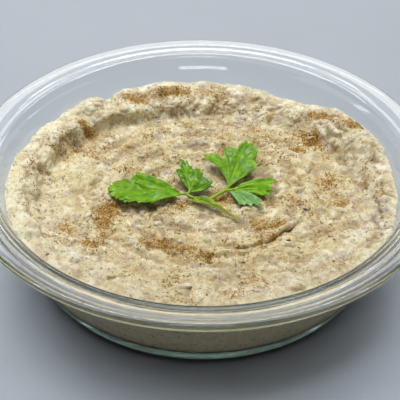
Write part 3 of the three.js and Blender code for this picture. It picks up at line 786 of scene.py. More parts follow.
SPICE_REACH = 92  # radius within which the spice lies
TRIES = 110000  # places drawn for it
GRAINS = 11000  # places kept, at most
STRAY_SPICE = 0.004  # chance of a grain where there is no dust
SPECKS = 150
SPECK_REACH = 94


def tree_of(piece):
    mesh = piece.data
    return BVHTree.FromPolygons([v.co for v in mesh.vertices], [p.vertices for p in mesh.polygons])


def seat(tree, x, y):
    """The dip's surface under a place, in millimetres, and its normal."""
    hit, normal, _, _ = tree.ray_cast(Vector((x * MM, y * MM, 0.07)), Vector((0, 0, -1)))
    return np.array(hit) / MM, np.array(normal)


def icosphere(level):
    """Vertices and triangles of a unit sphere made of even triangles."""
    sphere = bmesh.new()
    bmesh.ops.create_icosphere(sphere, subdivisions=level, radius=1)
    vertices = np.array([v.co for v in sphere.verts])
    faces = np.array([[v.index for v in f.verts] for f in sphere.faces])
    sphere.free()
    return vertices, faces

def turn_to(normal, spin):
    """A turn that takes Z to the normal, after a spin about Z."""
    tilt = Vector((0, 0, 1)).rotation_difference(Vector(normal)).to_matrix()
    return np.array(tilt @ Matrix.Rotation(spin, 3, "Z"))


def scatter(name, tree, places, shape, material, smooth=True):
    """One mesh of small things, seated at their places: shape(index) gives each one's vertices and faces."""
    vertices, faces, start = [], [], 0
    for index, (x, y, spin, sink) in enumerate(places):
        point, normal = seat(tree, x, y)
        own, own_faces = shape(index)
        vertices.append(own @ turn_to(normal, spin).T + point - normal * sink)
        faces.append(own_faces + start)
        start += len(own)
    return mesh_piece(name, np.concatenate(vertices), np.concatenate(faces), material, smooth)


def spice_places(rng):
    """Places drawn by the density of the dust, gathered in small clumps."""
    tries = np.column_stack([rng.uniform(-SPICE_REACH, SPICE_REACH, (TRIES, 2)), np.zeros(TRIES)])
    clump = np.clip(0.45 + 1.1 * noise(tries, 2.6, 51) + 0.5 * noise(tries, 1.2, 52), 0, 1)
    chance = dust(tries[:, 0], tries[:, 1]) * clump + STRAY_SPICE
    kept = tries[(np.hypot(tries[:, 0], tries[:, 1]) < SPICE_REACH) & (rng.random(TRIES) < chance)]
    return [(x, y, spin, 0.02) for (x, y, _), spin in zip(kept[:GRAINS], rng.uniform(0, 2 * math.pi, GRAINS))]


def crumb(rng, ball, size, stretch):
    return ball * size * stretch * rng.uniform(0.8, 1.2, (len(ball), 1))


def spice_piece(tree, material):
    rng = np.random.default_rng(61)
    places = spice_places(rng)
    ball, faces = icosphere(1)

    def grain(index):
        size = 0.18 + 0.3 * rng.random() ** 2
        stretch = rng.uniform(0.7, 1.4, 3) * (1, 1, 0.8)
        return crumb(rng, ball, size, stretch), faces

    return scatter("spice_grains", tree, places, grain, material, smooth=False)


def speck_piece(tree, material):
    """Flakes of charred skin."""
    rng = np.random.default_rng(62)
    places = []
    while len(places) < SPECKS:
        x, y = rng.uniform(-95, 95, 2)
        if math.hypot(x, y) < SPECK_REACH:
            places.append((x, y, rng.uniform(0, 6.28), 0.08))
    ball, faces = icosphere(1)

    def flake(index):
        size = 0.22 + 0.55 * rng.random() ** 3
        stretch = np.array([rng.uniform(0.9, 1.9), rng.uniform(0.5, 1), rng.uniform(0.25, 0.5)])
        return crumb(rng, ball, size, stretch), faces

    return scatter("char_specks", tree, places, flake, material, smooth=False)

# Shreds of aubergine, as in the CAD source.
BITS = dict(count=24, inner=34, outer=88, long=3.4, wide=2.2, high=1.3, seed=21)

BIT_SINK = 0.5  # share of a bit's half height that it lies below the mash's surface

# Other bits, seen one by one: x, y, half length, half width, half height, heading, tone.
# The tone is 0 for pale flesh, 1 for lilac, 2 for ochre and 3 for dark skin.
SEEN_BITS = (
    (50.5, -10.5, 3.6, 1.9, 1.1, 130, 3.0), (53.5, -14, 2.2, 1.2, 0.8, 110, 2.8),
    (89.6, -15, 2.9, 2.5, 1.9, 20, 0.9), (-22, -28, 2.4, 2.1, 1.3, 30, 1.5), (28, -79, 3.2, 2.2, 1.3, 0, 1.4),
    (-40, -66, 4.4, 2.8, 1.9, 10, 1.9), (-43, -71.5, 1.1, 0.8, 0.7, 60, 2.7),
    (-58, -23, 3.0, 1.7, 1.2, 20, 0.3),
    (48.6, -47, 1.5, 1.1, 0.9, 0, 0.2), (67, -23, 1.6, 1.3, 0.9, 40, 0.6), (63, -34, 1.9, 1.5, 1.0, 100, 2.6),
    (88, -23, 1.5, 1.3, 0.9, 0, 0.2), (86, -41, 1.9, 1.5, 1.1, 80, 2.5), (-73, -60, 2.0, 1.2, 0.8, 140, 2.8),
    (-9.4, -30, 1.9, 0.9, 0.7, 160, 3.0), (-17.7, 75, 2.0, 1.5, 1.2, 0, 0.3),
    (49.5, -1, 2.2, 1.6, 1.1, 50, 1.0),
    (96, -4, 1.7, 1.2, 1.0, 0, 0.4), (84, 4, 2.0, 1.3, 1.0, 80, 0.4), (-14, -12.5, 2.4, 1.4, 1.0, 0, 1.2),
    (2, -9, 2.8, 1.9, 1.2, 20, 1.3), (21, 3, 2.4, 1.7, 1.2, 60, 1.1), (-60, -57, 2.6, 2.0, 1.2, 60, 1.2),
    (-35, -43, 2.2, 1.4, 0.9, 0, 1.1), (-8, -73, 3.6, 2.4, 1.5, 160, 0.5), (8, -77, 2.6, 2.0, 1.3, 30, 2.0),
    (38, -74, 3.0, 2.2, 1.4, 20, 1.3), (47, -68, 2.6, 2.0, 1.3, 140, 0.2),
    (-70, -50, 3.0, 2.2, 1.3, 120, 0.3),
    (46, 55, 2.2, 1.4, 1.1, 150, 2.4), (58, 50, 2.0, 1.5, 1.1, 20, 2.9), (72, 57, 2.8, 1.9, 1.3, 140, 1.9),
    (12, 80, 2.8, 1.6, 1.1, 0, 2.1), (-58, 66, 3.0, 2.0, 1.4, 20, 0.4), (-70, 44, 2.4, 1.5, 1.1, 60, 2.6),
    (77, 30, 2.4, 1.4, 1.2, 100, 2.3), (88, 22, 2.0, 1.3, 1.0, 90, 2.8), (-33, 30, 2.2, 1.4, 0.8, 10, 1.0),
    (30, 38, 2.6, 1.4, 0.9, 170, 1.1), (-80, 12, 2.4, 1.6, 1.1, 90, 0.6), (-25, 66, 2.2, 1.3, 0.9, 10, 1.3),
)


def cad_bit_places():
    """The CAD source's shreds: x, y, half sizes, heading, tone."""
    index = np.arange(BITS["count"])
    radius = np.sqrt(lerp(BITS["inner"] ** 2, BITS["outer"] ** 2, (index + 0.5) / BITS["count"]))
    azimuth = np.radians((index * 137.508) % 360)
    size = lerp(0.7, 1.3, draw(index, np.zeros(len(index)), BITS["seed"]))
    turn = 360 * draw(index, np.ones(len(index)), BITS["seed"])
    tone = 2.2 * draw(index, np.full(len(index), 2), BITS["seed"])
    half = [size * BITS[key] / 2 for key in ("long", "wide", "high")]
    return list(zip(radius * np.cos(azimuth), radius * np.sin(azimuth), *half, turn, tone))


def bits_piece(tree, material):
    """Knobs of aubergine flesh, seeds and skin half sunk in the mash."""
    ball, faces = icosphere(3)
    bits = (*cad_bit_places(), *SEEN_BITS)
    places = [(x, y, math.radians(heading), high * BIT_SINK) for x, y, _, _, high, heading, _ in bits]

    def knob(index):
        own = ball * 4 + index * 11.7
        dents = 1 + 0.24 * noise(own, 3.1, 71) + 0.16 * noise(own, 1.2, 72)
        return ball * dents[:, None] * bits[index][2:5], faces

    piece = scatter("aubergine_bits", tree, places, knob, material)
    store(piece, "tone", np.repeat([bit[-1] for bit in bits], len(ball)))
    return piece


# ---------------------------------------------------------------- parsley

BLADE = 0.3  # thickness of a leaf
VEIN_DEPTH = 0.3
VEIN_WIDTH = 0.26
PUFF_HEIGHT = 0.5
EDGE_STEP = 0.3  # spacing of the vertices along a leaf's outline
TOOTH_PITCH = 3.5
TOOTH_DEPTH = 1.7
TOOTH_FADE = 6  # power of the share of the reach by which the teeth fade inwards
STALK_SIDES = 12
STALK_TONE = 0.3


def outline_reach(outline, bearing):
    """A leaf's reach at each bearing, as in the CAD source: smooth, and never past its tips or notches."""
    at = np.array([b for b, _ in outline], float)
    reach = np.array([r for _, r in outline], float)
    pitch = np.diff(reach) / np.diff(at)
    slope = np.empty(len(at))
    slope[0], slope[-1] = pitch[0], pitch[-1]
    for k in range(1, len(at) - 1):
        before, after = pitch[k - 1], pitch[k]
        slope[k] = 0 if before * after <= 0 else 2 * before * after / (before + after)
    index = np.clip(np.searchsorted(at, bearing, side="left") - 1, 0, len(at) - 2)
    span = at[index + 1] - at[index]
    t = np.clip((bearing - at[index]) / span, 0, 1)
    rise = t * t * (3 - 2 * t)
    leave = t * (1 - t) ** 2 * span * slope[index]
    arrive = t * t * (t - 1) * span * slope[index + 1]
    return lerp(reach[index], reach[index + 1], rise) + leave + arrive


def vein_bearings(outline):
    """Bearings of the outline's tips, where its reach is greater than on both sides."""
    reach = [r for _, r in outline]
    between = range(1, len(outline) - 1)
    tips = [outline[k][0] for k in between if reach[k - 1] <= reach[k] > reach[k + 1]]
    return sorted(set(tips + [0]))


def even_outline(outline):
    """Bearings spaced evenly along a leaf's outline, and the length of outline before each."""
    table = np.linspace(outline[0][0], outline[-1][0], 2000)
    reach = outline_reach(outline, table)
    x, y = from_polar(reach, table)
    run = np.concatenate([[0], np.cumsum(np.hypot(np.diff(x), np.diff(y)))])
    even = np.linspace(0, run[-1], round(run[-1] / EDGE_STEP) + 1)
    return np.interp(even, run, table), even


def teeth(leaf, bearings, run):
    """How far each place on the toothed edge lies inside the outline, along and across the leaf."""
    reach = outline_reach(leaf["outline"], bearings)
    along, across = from_polar(reach, bearings)
    ahead = np.stack([np.gradient(along), np.gradient(across)])
    ahead /= np.hypot(*ahead)
    phase = run / TOOTH_PITCH + 0.45 * bumps(run / 5, np.zeros(len(run)), leaf["seed"])
    uneven = 1 + 0.5 * bumps(run / 4, np.ones(len(run)), leaf["seed"])
    outer = smoothstep(reach / reach.max(), 0.35, 0.6)
    depth = TOOTH_DEPTH * outer * uneven * (1 - np.abs(np.sin(np.pi * phase))) ** 1.05
    return -ahead[1] * depth, ahead[0] * depth


def leaf_face(leaf, shares, bearings, run, lift):
    """Points of one face of a leaf, one row for each share of its reach."""
    base, outline = leaf["base"], leaf["outline"]
    length = max(reach for _, reach in outline)
    share, bearing = np.meshgrid(shares, bearings, indexing="ij")
    reach = share * outline_reach(outline, bearing)
    waist = np.where(bearing < 0, leaf["waist"][0], leaf["waist"][1])
    narrowed = np.radians(bearing * lerp(waist, 1, share))
    notch_along, notch_across = teeth(leaf, bearings, run)
    along = reach * np.cos(narrowed) + notch_along * share ** TOOTH_FADE
    across = reach * np.sin(narrowed) + notch_across * share ** TOOTH_FADE
    bow = leaf["arch"] * np.sin(np.pi * np.clip(along / length, 0, 1))
    ripple = LEAF_RIPPLE * share * np.sin(np.radians(bearing * LEAF_RIPPLES))
    height = base[2] + leaf["rise"] * along + bow + leaf["tilt"] * across + leaf["cup"] * across ** 2 + ripple
    vein = np.full(share.shape, 99.0)
    for tip in vein_bearings(outline):
        vein = np.minimum(vein, np.abs(np.radians(bearing - tip)) * reach)
    rib = hump(vein, VEIN_WIDTH + 0.12) * (1 - 0.6 * share)
    puff = PUFF_HEIGHT * np.tanh(vein / 2.2) * smoothstep(share, 0.1, 0.45) * (1 - smoothstep(share, 0.8, 1))
    turn = math.radians(leaf["heading"])
    x = base[0] + along * math.cos(turn) - across * math.sin(turn)
    y = base[1] + along * math.sin(turn) + across * math.cos(turn)
    flat = np.stack([x, y, np.zeros(x.shape)], 2).reshape(-1, 3)
    crinkle = 0.75 * noise(flat, 6.5, 81) + 0.4 * noise(flat, 3, 82) + 0.14 * noise(flat, 1.4, 83)
    height = height + crinkle.reshape(x.shape) * smoothstep(share, 0.05, 0.3)
    height = height - VEIN_DEPTH * rib + puff + lift - fold(leaf, x, y)
    return np.stack([x, y, height], 2), vein, share


def fold(leaf, x, y):
    """A sharp fold along a line across the leaf."""
    if "fold" not in leaf:
        return 0
    (x0, y0), (x1, y1), depth, width = leaf["fold"]
    long = math.hypot(x1 - x0, y1 - y0)
    along = ((x - x0) * (x1 - x0) + (y - y0) * (y1 - y0)) / long
    off = np.hypot(x - x0 - np.clip(along, 0, long) * (x1 - x0) / long,
                   y - y0 - np.clip(along, 0, long) * (y1 - y0) / long)
    return depth * hump(off, width)


def leaf_yellowing_and_sheen(leaf, bearing, share):
    """Yellowing towards a tip is above 0, and a cool, pale part, which is painted sheen, is below it."""
    tone = leaf.get("yellow", 0) * smoothstep(share, 0.45, 0.95)
    return tone - leaf.get("cool", 0) * smoothstep(bearing, -20, -27)


def leaf_mesh(leaf):
    """A closed blade, with the numbers that its material reads at each vertex."""
    bearings, run = even_outline(leaf["outline"])
    shares = np.concatenate([np.linspace(0.02, 0.8, 30, endpoint=False), np.linspace(0.8, 1, 14)])
    upper, vein, share = leaf_face(leaf, shares, bearings, run, BLADE / 2)
    lower, _, _ = leaf_face(leaf, shares, bearings, run, -BLADE / 2)
    rows, columns = share.shape
    vertices = np.concatenate([upper.reshape(-1, 3), lower.reshape(-1, 3)])
    index = np.arange(rows * columns).reshape(rows, columns)
    a, b, c, d = index[:-1, :-1], index[1:, :-1], index[1:, 1:], index[:-1, 1:]
    top = np.stack([a, b, c, d], -1).reshape(-1, 4)
    under = top[:, ::-1] + rows * columns
    border = np.concatenate([index[:, 0], index[-1, 1:], index[-2::-1, -1], index[0, -2:0:-1]])
    ahead = np.roll(border, -1)
    wall = np.stack([border, border + rows * columns, ahead + rows * columns, ahead], -1)
    bearing = np.broadcast_to(bearings, share.shape)
    fan = bumps(bearing / 2.4, share * 3, leaf["seed"])
    values = {"vein": vein, "share": share, "fan": fan, "tone": leaf_yellowing_and_sheen(leaf, bearing, share),
              "dark": np.full(share.shape, leaf["dark"])}
    return vertices, np.concatenate([top, under, wall]), {k: np.tile(v.ravel(), 2) for k, v in values.items()}


def stalk_mesh(radius, route):
    """A tube along a smooth line through the route's points."""
    points = [np.array(p, float) for p in route]
    ends = [2 * points[0] - points[1], *points, 2 * points[-1] - points[-2]]
    line = []
    for k in range(len(points) - 1):
        for t in np.linspace(0, 1, 8, endpoint=False):
            line.append(catmull_rom(*ends[k:k + 4], t))
    line = np.array(line + [points[-1]])
    ahead = np.gradient(line, axis=0)
    ahead /= np.linalg.norm(ahead, axis=1, keepdims=True)
    side = np.cross(ahead, (0, 0, 1.0))
    side /= np.linalg.norm(side, axis=1, keepdims=True)
    up = np.cross(side, ahead)
    angles = np.arange(STALK_SIDES) * 2 * np.pi / STALK_SIDES
    swell = radius * (1 + 0.12 * np.cos(2 * angles))
    vertices = np.concatenate([
        p + np.outer(swell * np.cos(angles), s) + np.outer(swell * np.sin(angles), u)
        for p, s, u in zip(line, side, up)
    ] + [line[:1], line[-1:]])
    faces = []
    for k in range(len(line) - 1):
        for j in range(STALK_SIDES):
            a, b = k * STALK_SIDES + j, k * STALK_SIDES + (j + 1) % STALK_SIDES
            faces.append((a, a + STALK_SIDES, b + STALK_SIDES, b))
    first, last, end = len(line) * STALK_SIDES, len(line) * STALK_SIDES + 1, (len(line) - 1) * STALK_SIDES
    faces += [(first, j, (j + 1) % STALK_SIDES) for j in range(STALK_SIDES)]
    faces += [(last, end + (j + 1) % STALK_SIDES, end + j) for j in range(STALK_SIDES)]
    return vertices, faces


def sprig_piece(name, leaves, stalks, material):
    vertices, faces, values, start = [], [], [], 0
    for leaf in leaves:
        own, own_faces, own_values = leaf_mesh(leaf)
        vertices.append(own)
        faces += (own_faces + start).tolist()
        values.append(own_values)
        start += len(own)
    for radius, route in stalks:
        own, own_faces = stalk_mesh(radius, route)
        vertices.append(own)
        faces += [[start + k for k in face] for face in own_faces]
        plain = dict.fromkeys(("vein", "share", "fan", "dark"), np.zeros(len(own)))
        values.append({**plain, "tone": np.full(len(own), STALK_TONE)})
        start += len(own)
    piece = mesh_piece(name, np.concatenate(vertices), faces, material)
    for key in values[0]:
        store(piece, key, np.concatenate([v[key] for v in values]))
    return piece


# ---------------------------------------------------------------- materials


def linear(red, green, blue):
    """A screen colour, from 0 to 255, as the shader's linear one."""
    values = [c / 255 for c in (red, green, blue)]
    return tuple(v / 12.92 if v <= 0.04045 else ((v + 0.055) / 1.055) ** 2.4 for v in values) + (1,)


class Shader:
    """Builds one material's nodes."""

    def __init__(self, name):
        self.material = bpy.data.materials.new(name)
        self.material.use_nodes = True
        self.tree = self.material.node_tree
        self.tree.nodes.clear()
        self.output = self.tree.nodes.new("ShaderNodeOutputMaterial")

    def node(self, kind, inputs=None, **settings):
        made = self.tree.nodes.new("ShaderNode" + kind)
        for key, value in settings.items():
            setattr(made, key, value)
        for key, value in (inputs or {}).items():
            self.feed(made.inputs[key], value)
        return made

    def feed(self, socket, value):
        if isinstance(value, bpy.types.NodeSocket):
            self.tree.links.new(value, socket)
        else:
            socket.default_value = value

    def place(self, scale=1.0):
        """Object coordinates in millimetres, divided by scale."""
        coordinates = self.node("TexCoord").outputs["Object"]
        return self.node("VectorMath", {0: coordinates, "Scale": 1000 / scale}, operation="SCALE").outputs[0]

    def value(self, name):
        return self.node("Attribute", attribute_name=name).outputs["Fac"]

    def noise(self, width, detail=2.0, roughness=0.5, distortion=0.0):
        return self.node("TexNoise", {
            "Vector": self.place(width), "Scale": 1.0, "Detail": detail, "Roughness": roughness,
            "Distortion": distortion,
        }).outputs["Fac"]

    def math(self, operation, *values, clamp=False):
        made = self.node("Math", operation=operation, use_clamp=clamp)
        for k, value in enumerate(values):
            self.feed(made.inputs[k], value)
        return made.outputs[0]

    def ramp(self, value, low, high):
        """0 at low and 1 at high, smooth between and level beyond; low may be the greater."""
        return self.node("MapRange", {"Value": value, "From Min": low, "From Max": high},
                         interpolation_type="SMOOTHSTEP").outputs[0]

    def spots(self, low, high, *noise):
        return self.ramp(self.noise(*noise), low, high)

    def mix(self, factor, a, b):
        made = self.node("Mix", data_type="RGBA")
        self.feed(made.inputs[0], factor)
        self.feed(made.inputs[6], a)
        self.feed(made.inputs[7], b)
        return made.outputs[2]

    def tinted(self, colour, tint, mask, strength):
        """The colour mixed with the tint, by that strength where the mask is 1."""
        return self.mix(self.math("MULTIPLY", mask, strength), colour, tint)

    def bump(self, height, distance, strength=1.0, normal=None):
        made = self.node("Bump", {"Height": height, "Distance": distance * MM, "Strength": strength})
        if normal is not None:
            self.feed(made.inputs["Normal"], normal)
        return made.outputs[0]

    def finish(self, shader):
        self.tree.links.new(shader, self.output.inputs["Surface"])
        return self.material

    def surface(self, colour, roughness, **others):
        """Finishes with one surface; an underscore in an input's name stands for its space."""
        inputs = {key.replace("_", " "): value for key, value in others.items()}
        principled = self.node("BsdfPrincipled", {"Base Color": colour, "Roughness": roughness, **inputs})
        return self.finish(principled.outputs[0])


def dip_material():
    s = Shader("mash")
    on_band, hollow_shade, pressed = s.value("band"), s.value("hollow_shade"), s.value("pressed")
    place = s.node("SeparateXYZ", {0: s.place()}).outputs
    grain = s.noise(0.8, 3, 0.7)
    cream = s.mix(on_band, linear(219, 203, 154), linear(226, 216, 178))
    pale = s.mix(on_band, linear(240, 231, 196), linear(240, 235, 210))
    colour = s.mix(s.ramp(s.value("swept"), -0.1, 0.45), cream, pale)
    for tint, strength, mask in (
        # Patches of flesh: olive, pale, lilac and ochre.
        (linear(190, 174, 122), 0.55, s.spots(0.48, 0.62, 7, 3, 0.65, 0.4)),
        (pale, 0.6, s.spots(0.54, 0.66, 4, 3, 0.65, 0.4)),
        (linear(180, 164, 152), 0.7, s.spots(0.56, 0.64, 9, 4, 0.65, 0.4)),
        (linear(198, 148, 64), 0.55, s.spots(0.56, 0.63, 6, 4, 0.65, 0.4)),
        (linear(198, 148, 64), 0.6, s.spots(0.58, 0.65, 2.1, 3, 0.65, 0.4)),
        # Painted shade: hollows are painted browner and pits dark, as if shade falls in them.
        (linear(150, 120, 78), 0.65, s.ramp(hollow_shade, 0.0, 1.0)),
        (linear(74, 48, 30), 0.85, s.ramp(hollow_shade, 1.2, 2.4)),
        # Mash pressed against the glass is paler, with dark streaks.
        (linear(236, 230, 208), 0.35, pressed),
        (linear(80, 66, 54), 0.6, s.math("MULTIPLY", pressed, s.spots(0.62, 0.7, 3.4, 2, 0.6))),
        # Painted light and shade: the left is painted paler, as if lit, and the front darker, as if shaded.
        (linear(252, 245, 208), 0.38, s.ramp(place["X"], -60, -84)),
        (linear(190, 170, 132), 0.3, s.ramp(place["Y"], -40, -78)),
        # Fine grain, whose lighter specks are partly painted highlights of wet mash; then brown and charred
        # flecks.
        (linear(142, 116, 78), 0.5, s.ramp(grain, 0.48, 0.28)),
        (linear(252, 247, 218), 0.5, s.ramp(grain, 0.54, 0.72)),
        (linear(122, 84, 42), 0.7, s.spots(0.61, 0.68, 1.9, 2, 0.6)),
        (linear(44, 30, 20), 0.85, s.spots(0.72, 0.77, 1, 1, 0.5)),
    ):
        colour = s.tinted(colour, tint, mask, strength)
    coarse = s.bump(s.noise(1.6, 3, 0.6), 0.55)
    fine = s.bump(s.noise(0.6, 3, 0.65), 0.26, normal=coarse)
    rough = s.math("ADD", 0.26, s.math("MULTIPLY", s.noise(2.2, 2), 0.26))
    return s.surface(dusted(s, colour), rough, Normal=fine, IOR=1.42, Subsurface_Weight=0.12,
                     Subsurface_Radius=(0.003, 0.002, 0.001), Subsurface_Scale=1.0)


def dusted(s, colour):
    """The colour under a patchy golden dusting, stained and speckled where the spice lies thick."""
    dust_here = s.value("dust")
    dense = s.math("MULTIPLY", dust_here, dust_here)

    def patches(thin, thick, width, detail, growth, share, low, high):
        """Spots of a noise that grow by a share of growth, and are gone where the dust is thin."""
        level = s.math("ADD", s.noise(width, detail, 0.7), s.math("MULTIPLY", growth, share))
        return s.math("MULTIPLY", s.ramp(dust_here, thin, thick), s.ramp(level, low, high))

    cover = patches(0.08, 0.9, 2.4, 4, dust_here, 0.08, 0.5, 0.62)
    stain = patches(0.4, 1.0, 2.3, 4, dust_here, 0.04, 0.5, 0.62)
    speckle = patches(0.05, 0.6, 0.95, 3, dense, 0.17, 0.56, 0.64)
    grains = s.mix(s.spots(0.4, 0.6, 1.1, 2, 0.7), linear(110, 76, 22), linear(192, 147, 52))
    golden = s.tinted(colour, linear(198, 156, 64), cover, 0.6)
    golden = s.tinted(golden, linear(180, 128, 46), stain, 0.6)
    return s.mix(speckle, golden, grains)


def bits_material():
    s = Shader("bits")
    tone = s.value("tone")
    colour = s.mix(s.ramp(tone, 0.2, 0.9), linear(234, 225, 200), linear(184, 166, 160))
    colour = s.mix(s.ramp(tone, 1.3, 1.9), colour, linear(192, 166, 108))
    colour = s.mix(s.ramp(tone, 2.3, 2.8), colour, linear(108, 72, 48))
    colour = s.tinted(colour, linear(221, 209, 170), s.spots(0.42, 0.56, 1.8, 4, 0.65), 0.7)
    colour = s.tinted(colour, linear(74, 48, 32), s.spots(0.62, 0.7, 0.8, 2, 0.6), 0.75)
    fine = s.bump(s.noise(0.9, 3, 0.6), 0.25)
    return s.surface(colour, 0.32, Normal=fine, IOR=1.42, Subsurface_Weight=0.15,
                     Subsurface_Radius=(0.003, 0.002, 0.001), Subsurface_Scale=1.0)


def spice_material():
    s = Shader("spice")
    return s.surface(s.mix(s.spots(0.32, 0.68, 0.9, 1), linear(106, 72, 20), linear(190, 145, 50)), 0.7)


def char_material():
    s = Shader("char")
    return s.surface(s.mix(s.spots(0.35, 0.65, 3, 1), linear(48, 32, 22), linear(122, 88, 58)), 0.45)


def parsley_material():
    s = Shader("parsley")
    tone = s.value("tone")
    colour = s.mix(s.spots(0.35, 0.65, 4, 3, 0.6), linear(94, 146, 3), linear(132, 184, 14))
    colour = s.tinted(colour, linear(58, 108, 4), s.value("dark"), s.spots(0.25, 0.55, 5, 3, 0.6))
    vein = s.math("MULTIPLY", s.ramp(s.value("vein"), 0.6, 0.1), s.ramp(s.value("share"), 1.1, 0.2))
    for tint, strength, mask in (
        (linear(138, 178, 26), 0.35, s.ramp(s.value("fan"), -0.1, 0.6)),
        (linear(156, 190, 54), 0.6, vein),
        (linear(178, 168, 62), 0.8, s.ramp(tone, 0.1, 0.9)),
        # a cool, pale part of a leaf: painted sheen, its bluish gloss put into the colour
        (linear(128, 178, 112), 0.7, s.ramp(tone, -0.1, -0.9)),
        (linear(150, 186, 48), 0.35, s.ramp(s.value("share"), 0.93, 1.0)),
    ):
        colour = s.tinted(colour, tint, mask, strength)
    coarse = s.bump(s.noise(1.6, 3, 0.6), 0.1)
    fine = s.bump(s.noise(0.5, 3, 0.6), 0.03, normal=coarse)
    return s.surface(colour, 0.25, Normal=fine, IOR=1.4, Specular_IOR_Level=0.24, Subsurface_Weight=0.15,
                     Subsurface_Radius=(0.0008, 0.0016, 0.0004), Subsurface_Scale=1.0)


def glass_material():
    """Clear glass. Shadow rays, and diffuse rays near the foot, meet a plain shade, dark at the foot."""
    s = Shader("glass")
    glass = s.node("BsdfPrincipled", {
        "Base Color": linear(252, 254, 253), "Roughness": 0.01, "IOR": 1.5, "Transmission Weight": 1.0,
    })
    height = s.node("SeparateXYZ", {0: s.place()}).outputs["Z"]
    shade = s.mix(s.ramp(height, 6, 20), (0.05, 0.05, 0.06, 1), (0.895, 0.93, 0.985, 1))
    clear = s.node("BsdfTransparent", {"Color": shade})
    path = s.node("LightPath")
    at_foot = s.math("MULTIPLY", path.outputs["Is Diffuse Ray"], s.ramp(height, 16, 6))
    passing = s.math("ADD", path.outputs["Is Shadow Ray"], at_foot, clamp=True)
    made = s.node("MixShader", {0: passing, 1: glass.outputs[0], 2: clear.outputs[0]})
    inside = s.node("VolumeAbsorption", {"Color": (0.4, 0.54, 0.51, 1), "Density": 14.0})
    s.tree.links.new(inside.outputs[0], s.output.inputs["Volume"])
    return s.finish(made.outputs[0])


def floor_material():
    s = Shader("floor")
    colour = s.mix(s.noise(60, 3, 0.5), linear(173, 178, 185), linear(179, 184, 191))
    return s.surface(colour, 0.6, Specular_IOR_Level=0.2, Normal=s.bump(s.noise(1.5, 3), 0.05))


# ---------------------------------------------------------------- camera, light and floor

PHOTO_WIDTH = 400  # pixels
FOCAL_LENGTH = 1287  # in the photo's pixels
SENSOR_WIDTH = 36
CAMERA_PLACE = (0, -523.383, 443.448)
CAMERA_RIGHT = (0.99989523, 0.01026611, 0.01020491)
CAMERA_UP = (-0.01436462, 0.61672495, 0.78704764)
CAMERA_BACK = (0.0017863, -0.78711177, 0.61680781)
FLOOR_REACH = 3000


def add_camera():
    """The camera was fitted to the outlines of rim, wall and base."""
    data = bpy.data.cameras.new("camera")
    data.sensor_width = SENSOR_WIDTH
    data.sensor_fit = "HORIZONTAL"
    data.lens = FOCAL_LENGTH / PHOTO_WIDTH * SENSOR_WIDTH
    data.clip_start, data.clip_end = 0.02, 20
    camera = bpy.data.objects.new("camera", data)
    turn = Matrix((CAMERA_RIGHT, CAMERA_UP, CAMERA_BACK)).transposed()
    camera.matrix_world = Matrix.Translation(Vector(CAMERA_PLACE) * MM) @ turn.to_4x4()
    bpy.context.scene.collection.objects.link(camera)
    bpy.context.scene.camera = camera


def area_light(name, place, size, radiance, colour, hidden_from, receivers):
    """A flat lamp in metres, facing the middle of the table. No receivers means that it lights everything."""
    data = bpy.data.lights.new(name, "AREA")
    data.shape = "RECTANGLE"
    data.size, data.size_y = size
    data.energy = radiance * math.pi * size[0] * size[1]
    data.color = colour
    light = bpy.data.objects.new(name, data)
    light.location = place
    light.rotation_euler = (-Vector(place)).to_track_quat("-Z", "Y").to_euler()
    bpy.context.scene.collection.objects.link(light)
    for rays in hidden_from:
        setattr(light, "visible_" + rays, False)
    if receivers is not None:
        light.light_linking.receiver_collection = receivers


def add_lights(food, glassware, dressed):
    unmirrored = ("glossy", "transmission")
    glints = ("diffuse",)
    first_glints = ("diffuse", "transmission")  # mirrored, but not seen through the glass
    warm = (1, 0.965, 0.92)
    for light in (
        # Soft lamps for the whole scene.
        ("lamp", (-0.16, 0.55, 0.95), (0.9, 0.5), 4.55, (1, 0.99, 0.965), unmirrored, None),
        ("ceiling", (-0.1, 0.7, 1.5), (2.4, 1.6), 1.25, (0.88, 0.93, 1.03), (), None),
        ("strip", (-0.1, 0.16, 1.2), (1.2, 0.3), 4.0, (1, 0.99, 0.97), unmirrored, None),
        # Narrow lights that only the glass mirrors.
        ("window", (0.02, 1.1, 0.75), (1.6, 0.34), 4.0, warm, first_glints, glassware),
        ("overhead", (-0.02, 0.41, 1.2), (1.0, 0.22), 13.0, warm, first_glints, glassware),
        ("bar", (-0.1, 0.55, 0.95), (1.3, 0.1), 6.0, warm, glints, glassware),
        ("camera_side", (0.01, -0.66, 1.04), (0.42, 0.16), 9.0, warm, glints, glassware),
        # A glint on wet mash and leaves, a fill that leaves out the floor, and one from the right.
        ("glint", (-0.12, 0.56, 0.93), (0.36, 0.28), 16, (0.93, 0.97, 1), first_glints, food),
        ("fill", (0.1, -1.7, 0.75), (1.6, 0.9), 0.55, (0.98, 0.99, 1.03), unmirrored, dressed),
        ("side", (1.1, 0.05, 0.7), (0.8, 0.6), 1.0, (1, 0.985, 0.96), unmirrored, food),
    ):
        area_light(*light)
    add_room()


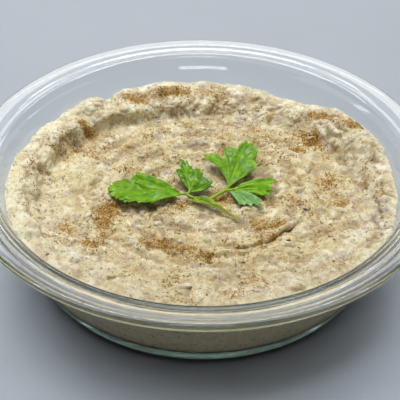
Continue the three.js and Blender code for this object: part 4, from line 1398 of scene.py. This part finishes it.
def add_room():
    """The room is dim, but glass and wet surfaces mirror its walls."""
    world = bpy.data.worlds.new("room")
    world.use_nodes = True
    tree = world.node_tree
    background = tree.nodes["Background"]
    background.inputs["Color"].default_value = (1, 0.985, 0.955, 1)
    path = tree.nodes.new("ShaderNodeLightPath")
    strength = tree.nodes.new("ShaderNodeMapRange")
    strength.inputs["To Min"].default_value = 0.27
    strength.inputs["To Max"].default_value = 0.05
    tree.links.new(path.outputs["Is Diffuse Ray"], strength.inputs["Value"])
    tree.links.new(strength.outputs[0], background.inputs["Strength"])
    bpy.context.scene.world = world


def add_floor():
    corners = [(x * FLOOR_REACH, y * FLOOR_REACH, 0) for x, y in ((-1, -1), (1, -1), (1, 1), (-1, 1))]
    floor = mesh_piece("floor", corners, [(0, 1, 2, 3)], floor_material(), smooth=False)


# ---------------------------------------------------------------- the scene


def main():
    scene = bpy.context.scene
    scene.view_settings.view_transform = "Standard"
    scene.cycles.max_bounces = 36
    scene.cycles.glossy_bounces = 24  # light runs through the thick glass by many inner reflections
    scene.cycles.transmission_bounces = 24
    add_camera()
    food, glassware, dressed = (bpy.data.collections.new(name) for name in ("food", "glassware", "dressed"))
    add_lights(food, glassware, dressed)
    add_floor()

    vertices, faces = lathe(dish_profile(), DISH_SIDES)
    dish = mesh_piece("glass_dish_clear", vertices, faces, glass_material())
    dip = dip_piece(dip_material())
    tree = tree_of(dip)
    spice = spice_piece(tree, spice_material())
    bits = bits_piece(tree, bits_material())
    specks = speck_piece(tree, char_material())
    green = parsley_material()
    left = sprig_piece("parsley_left", LEFT_LEAVES, LEFT_STALKS, green)
    right = sprig_piece("parsley_right", RIGHT_LEAVES, RIGHT_STALKS, green)

    for piece, node, slot, lit_as in (
        (dish, "glass_dish", "glass", glassware),
        (dip, "baba_ganoush", "mash", food),
        (spice, None, "mash", food),
        (bits, None, "mash", food),
        (specks, None, "mash", food),
        (left, "parsley_sprig_left", "parsley", food),
        (right, "parsley_sprig_right", "parsley", food),
    ):
        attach(piece, "root")
        if node:
            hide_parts(node)
        lit_as.objects.link(piece)
        dressed.objects.link(piece)


main()
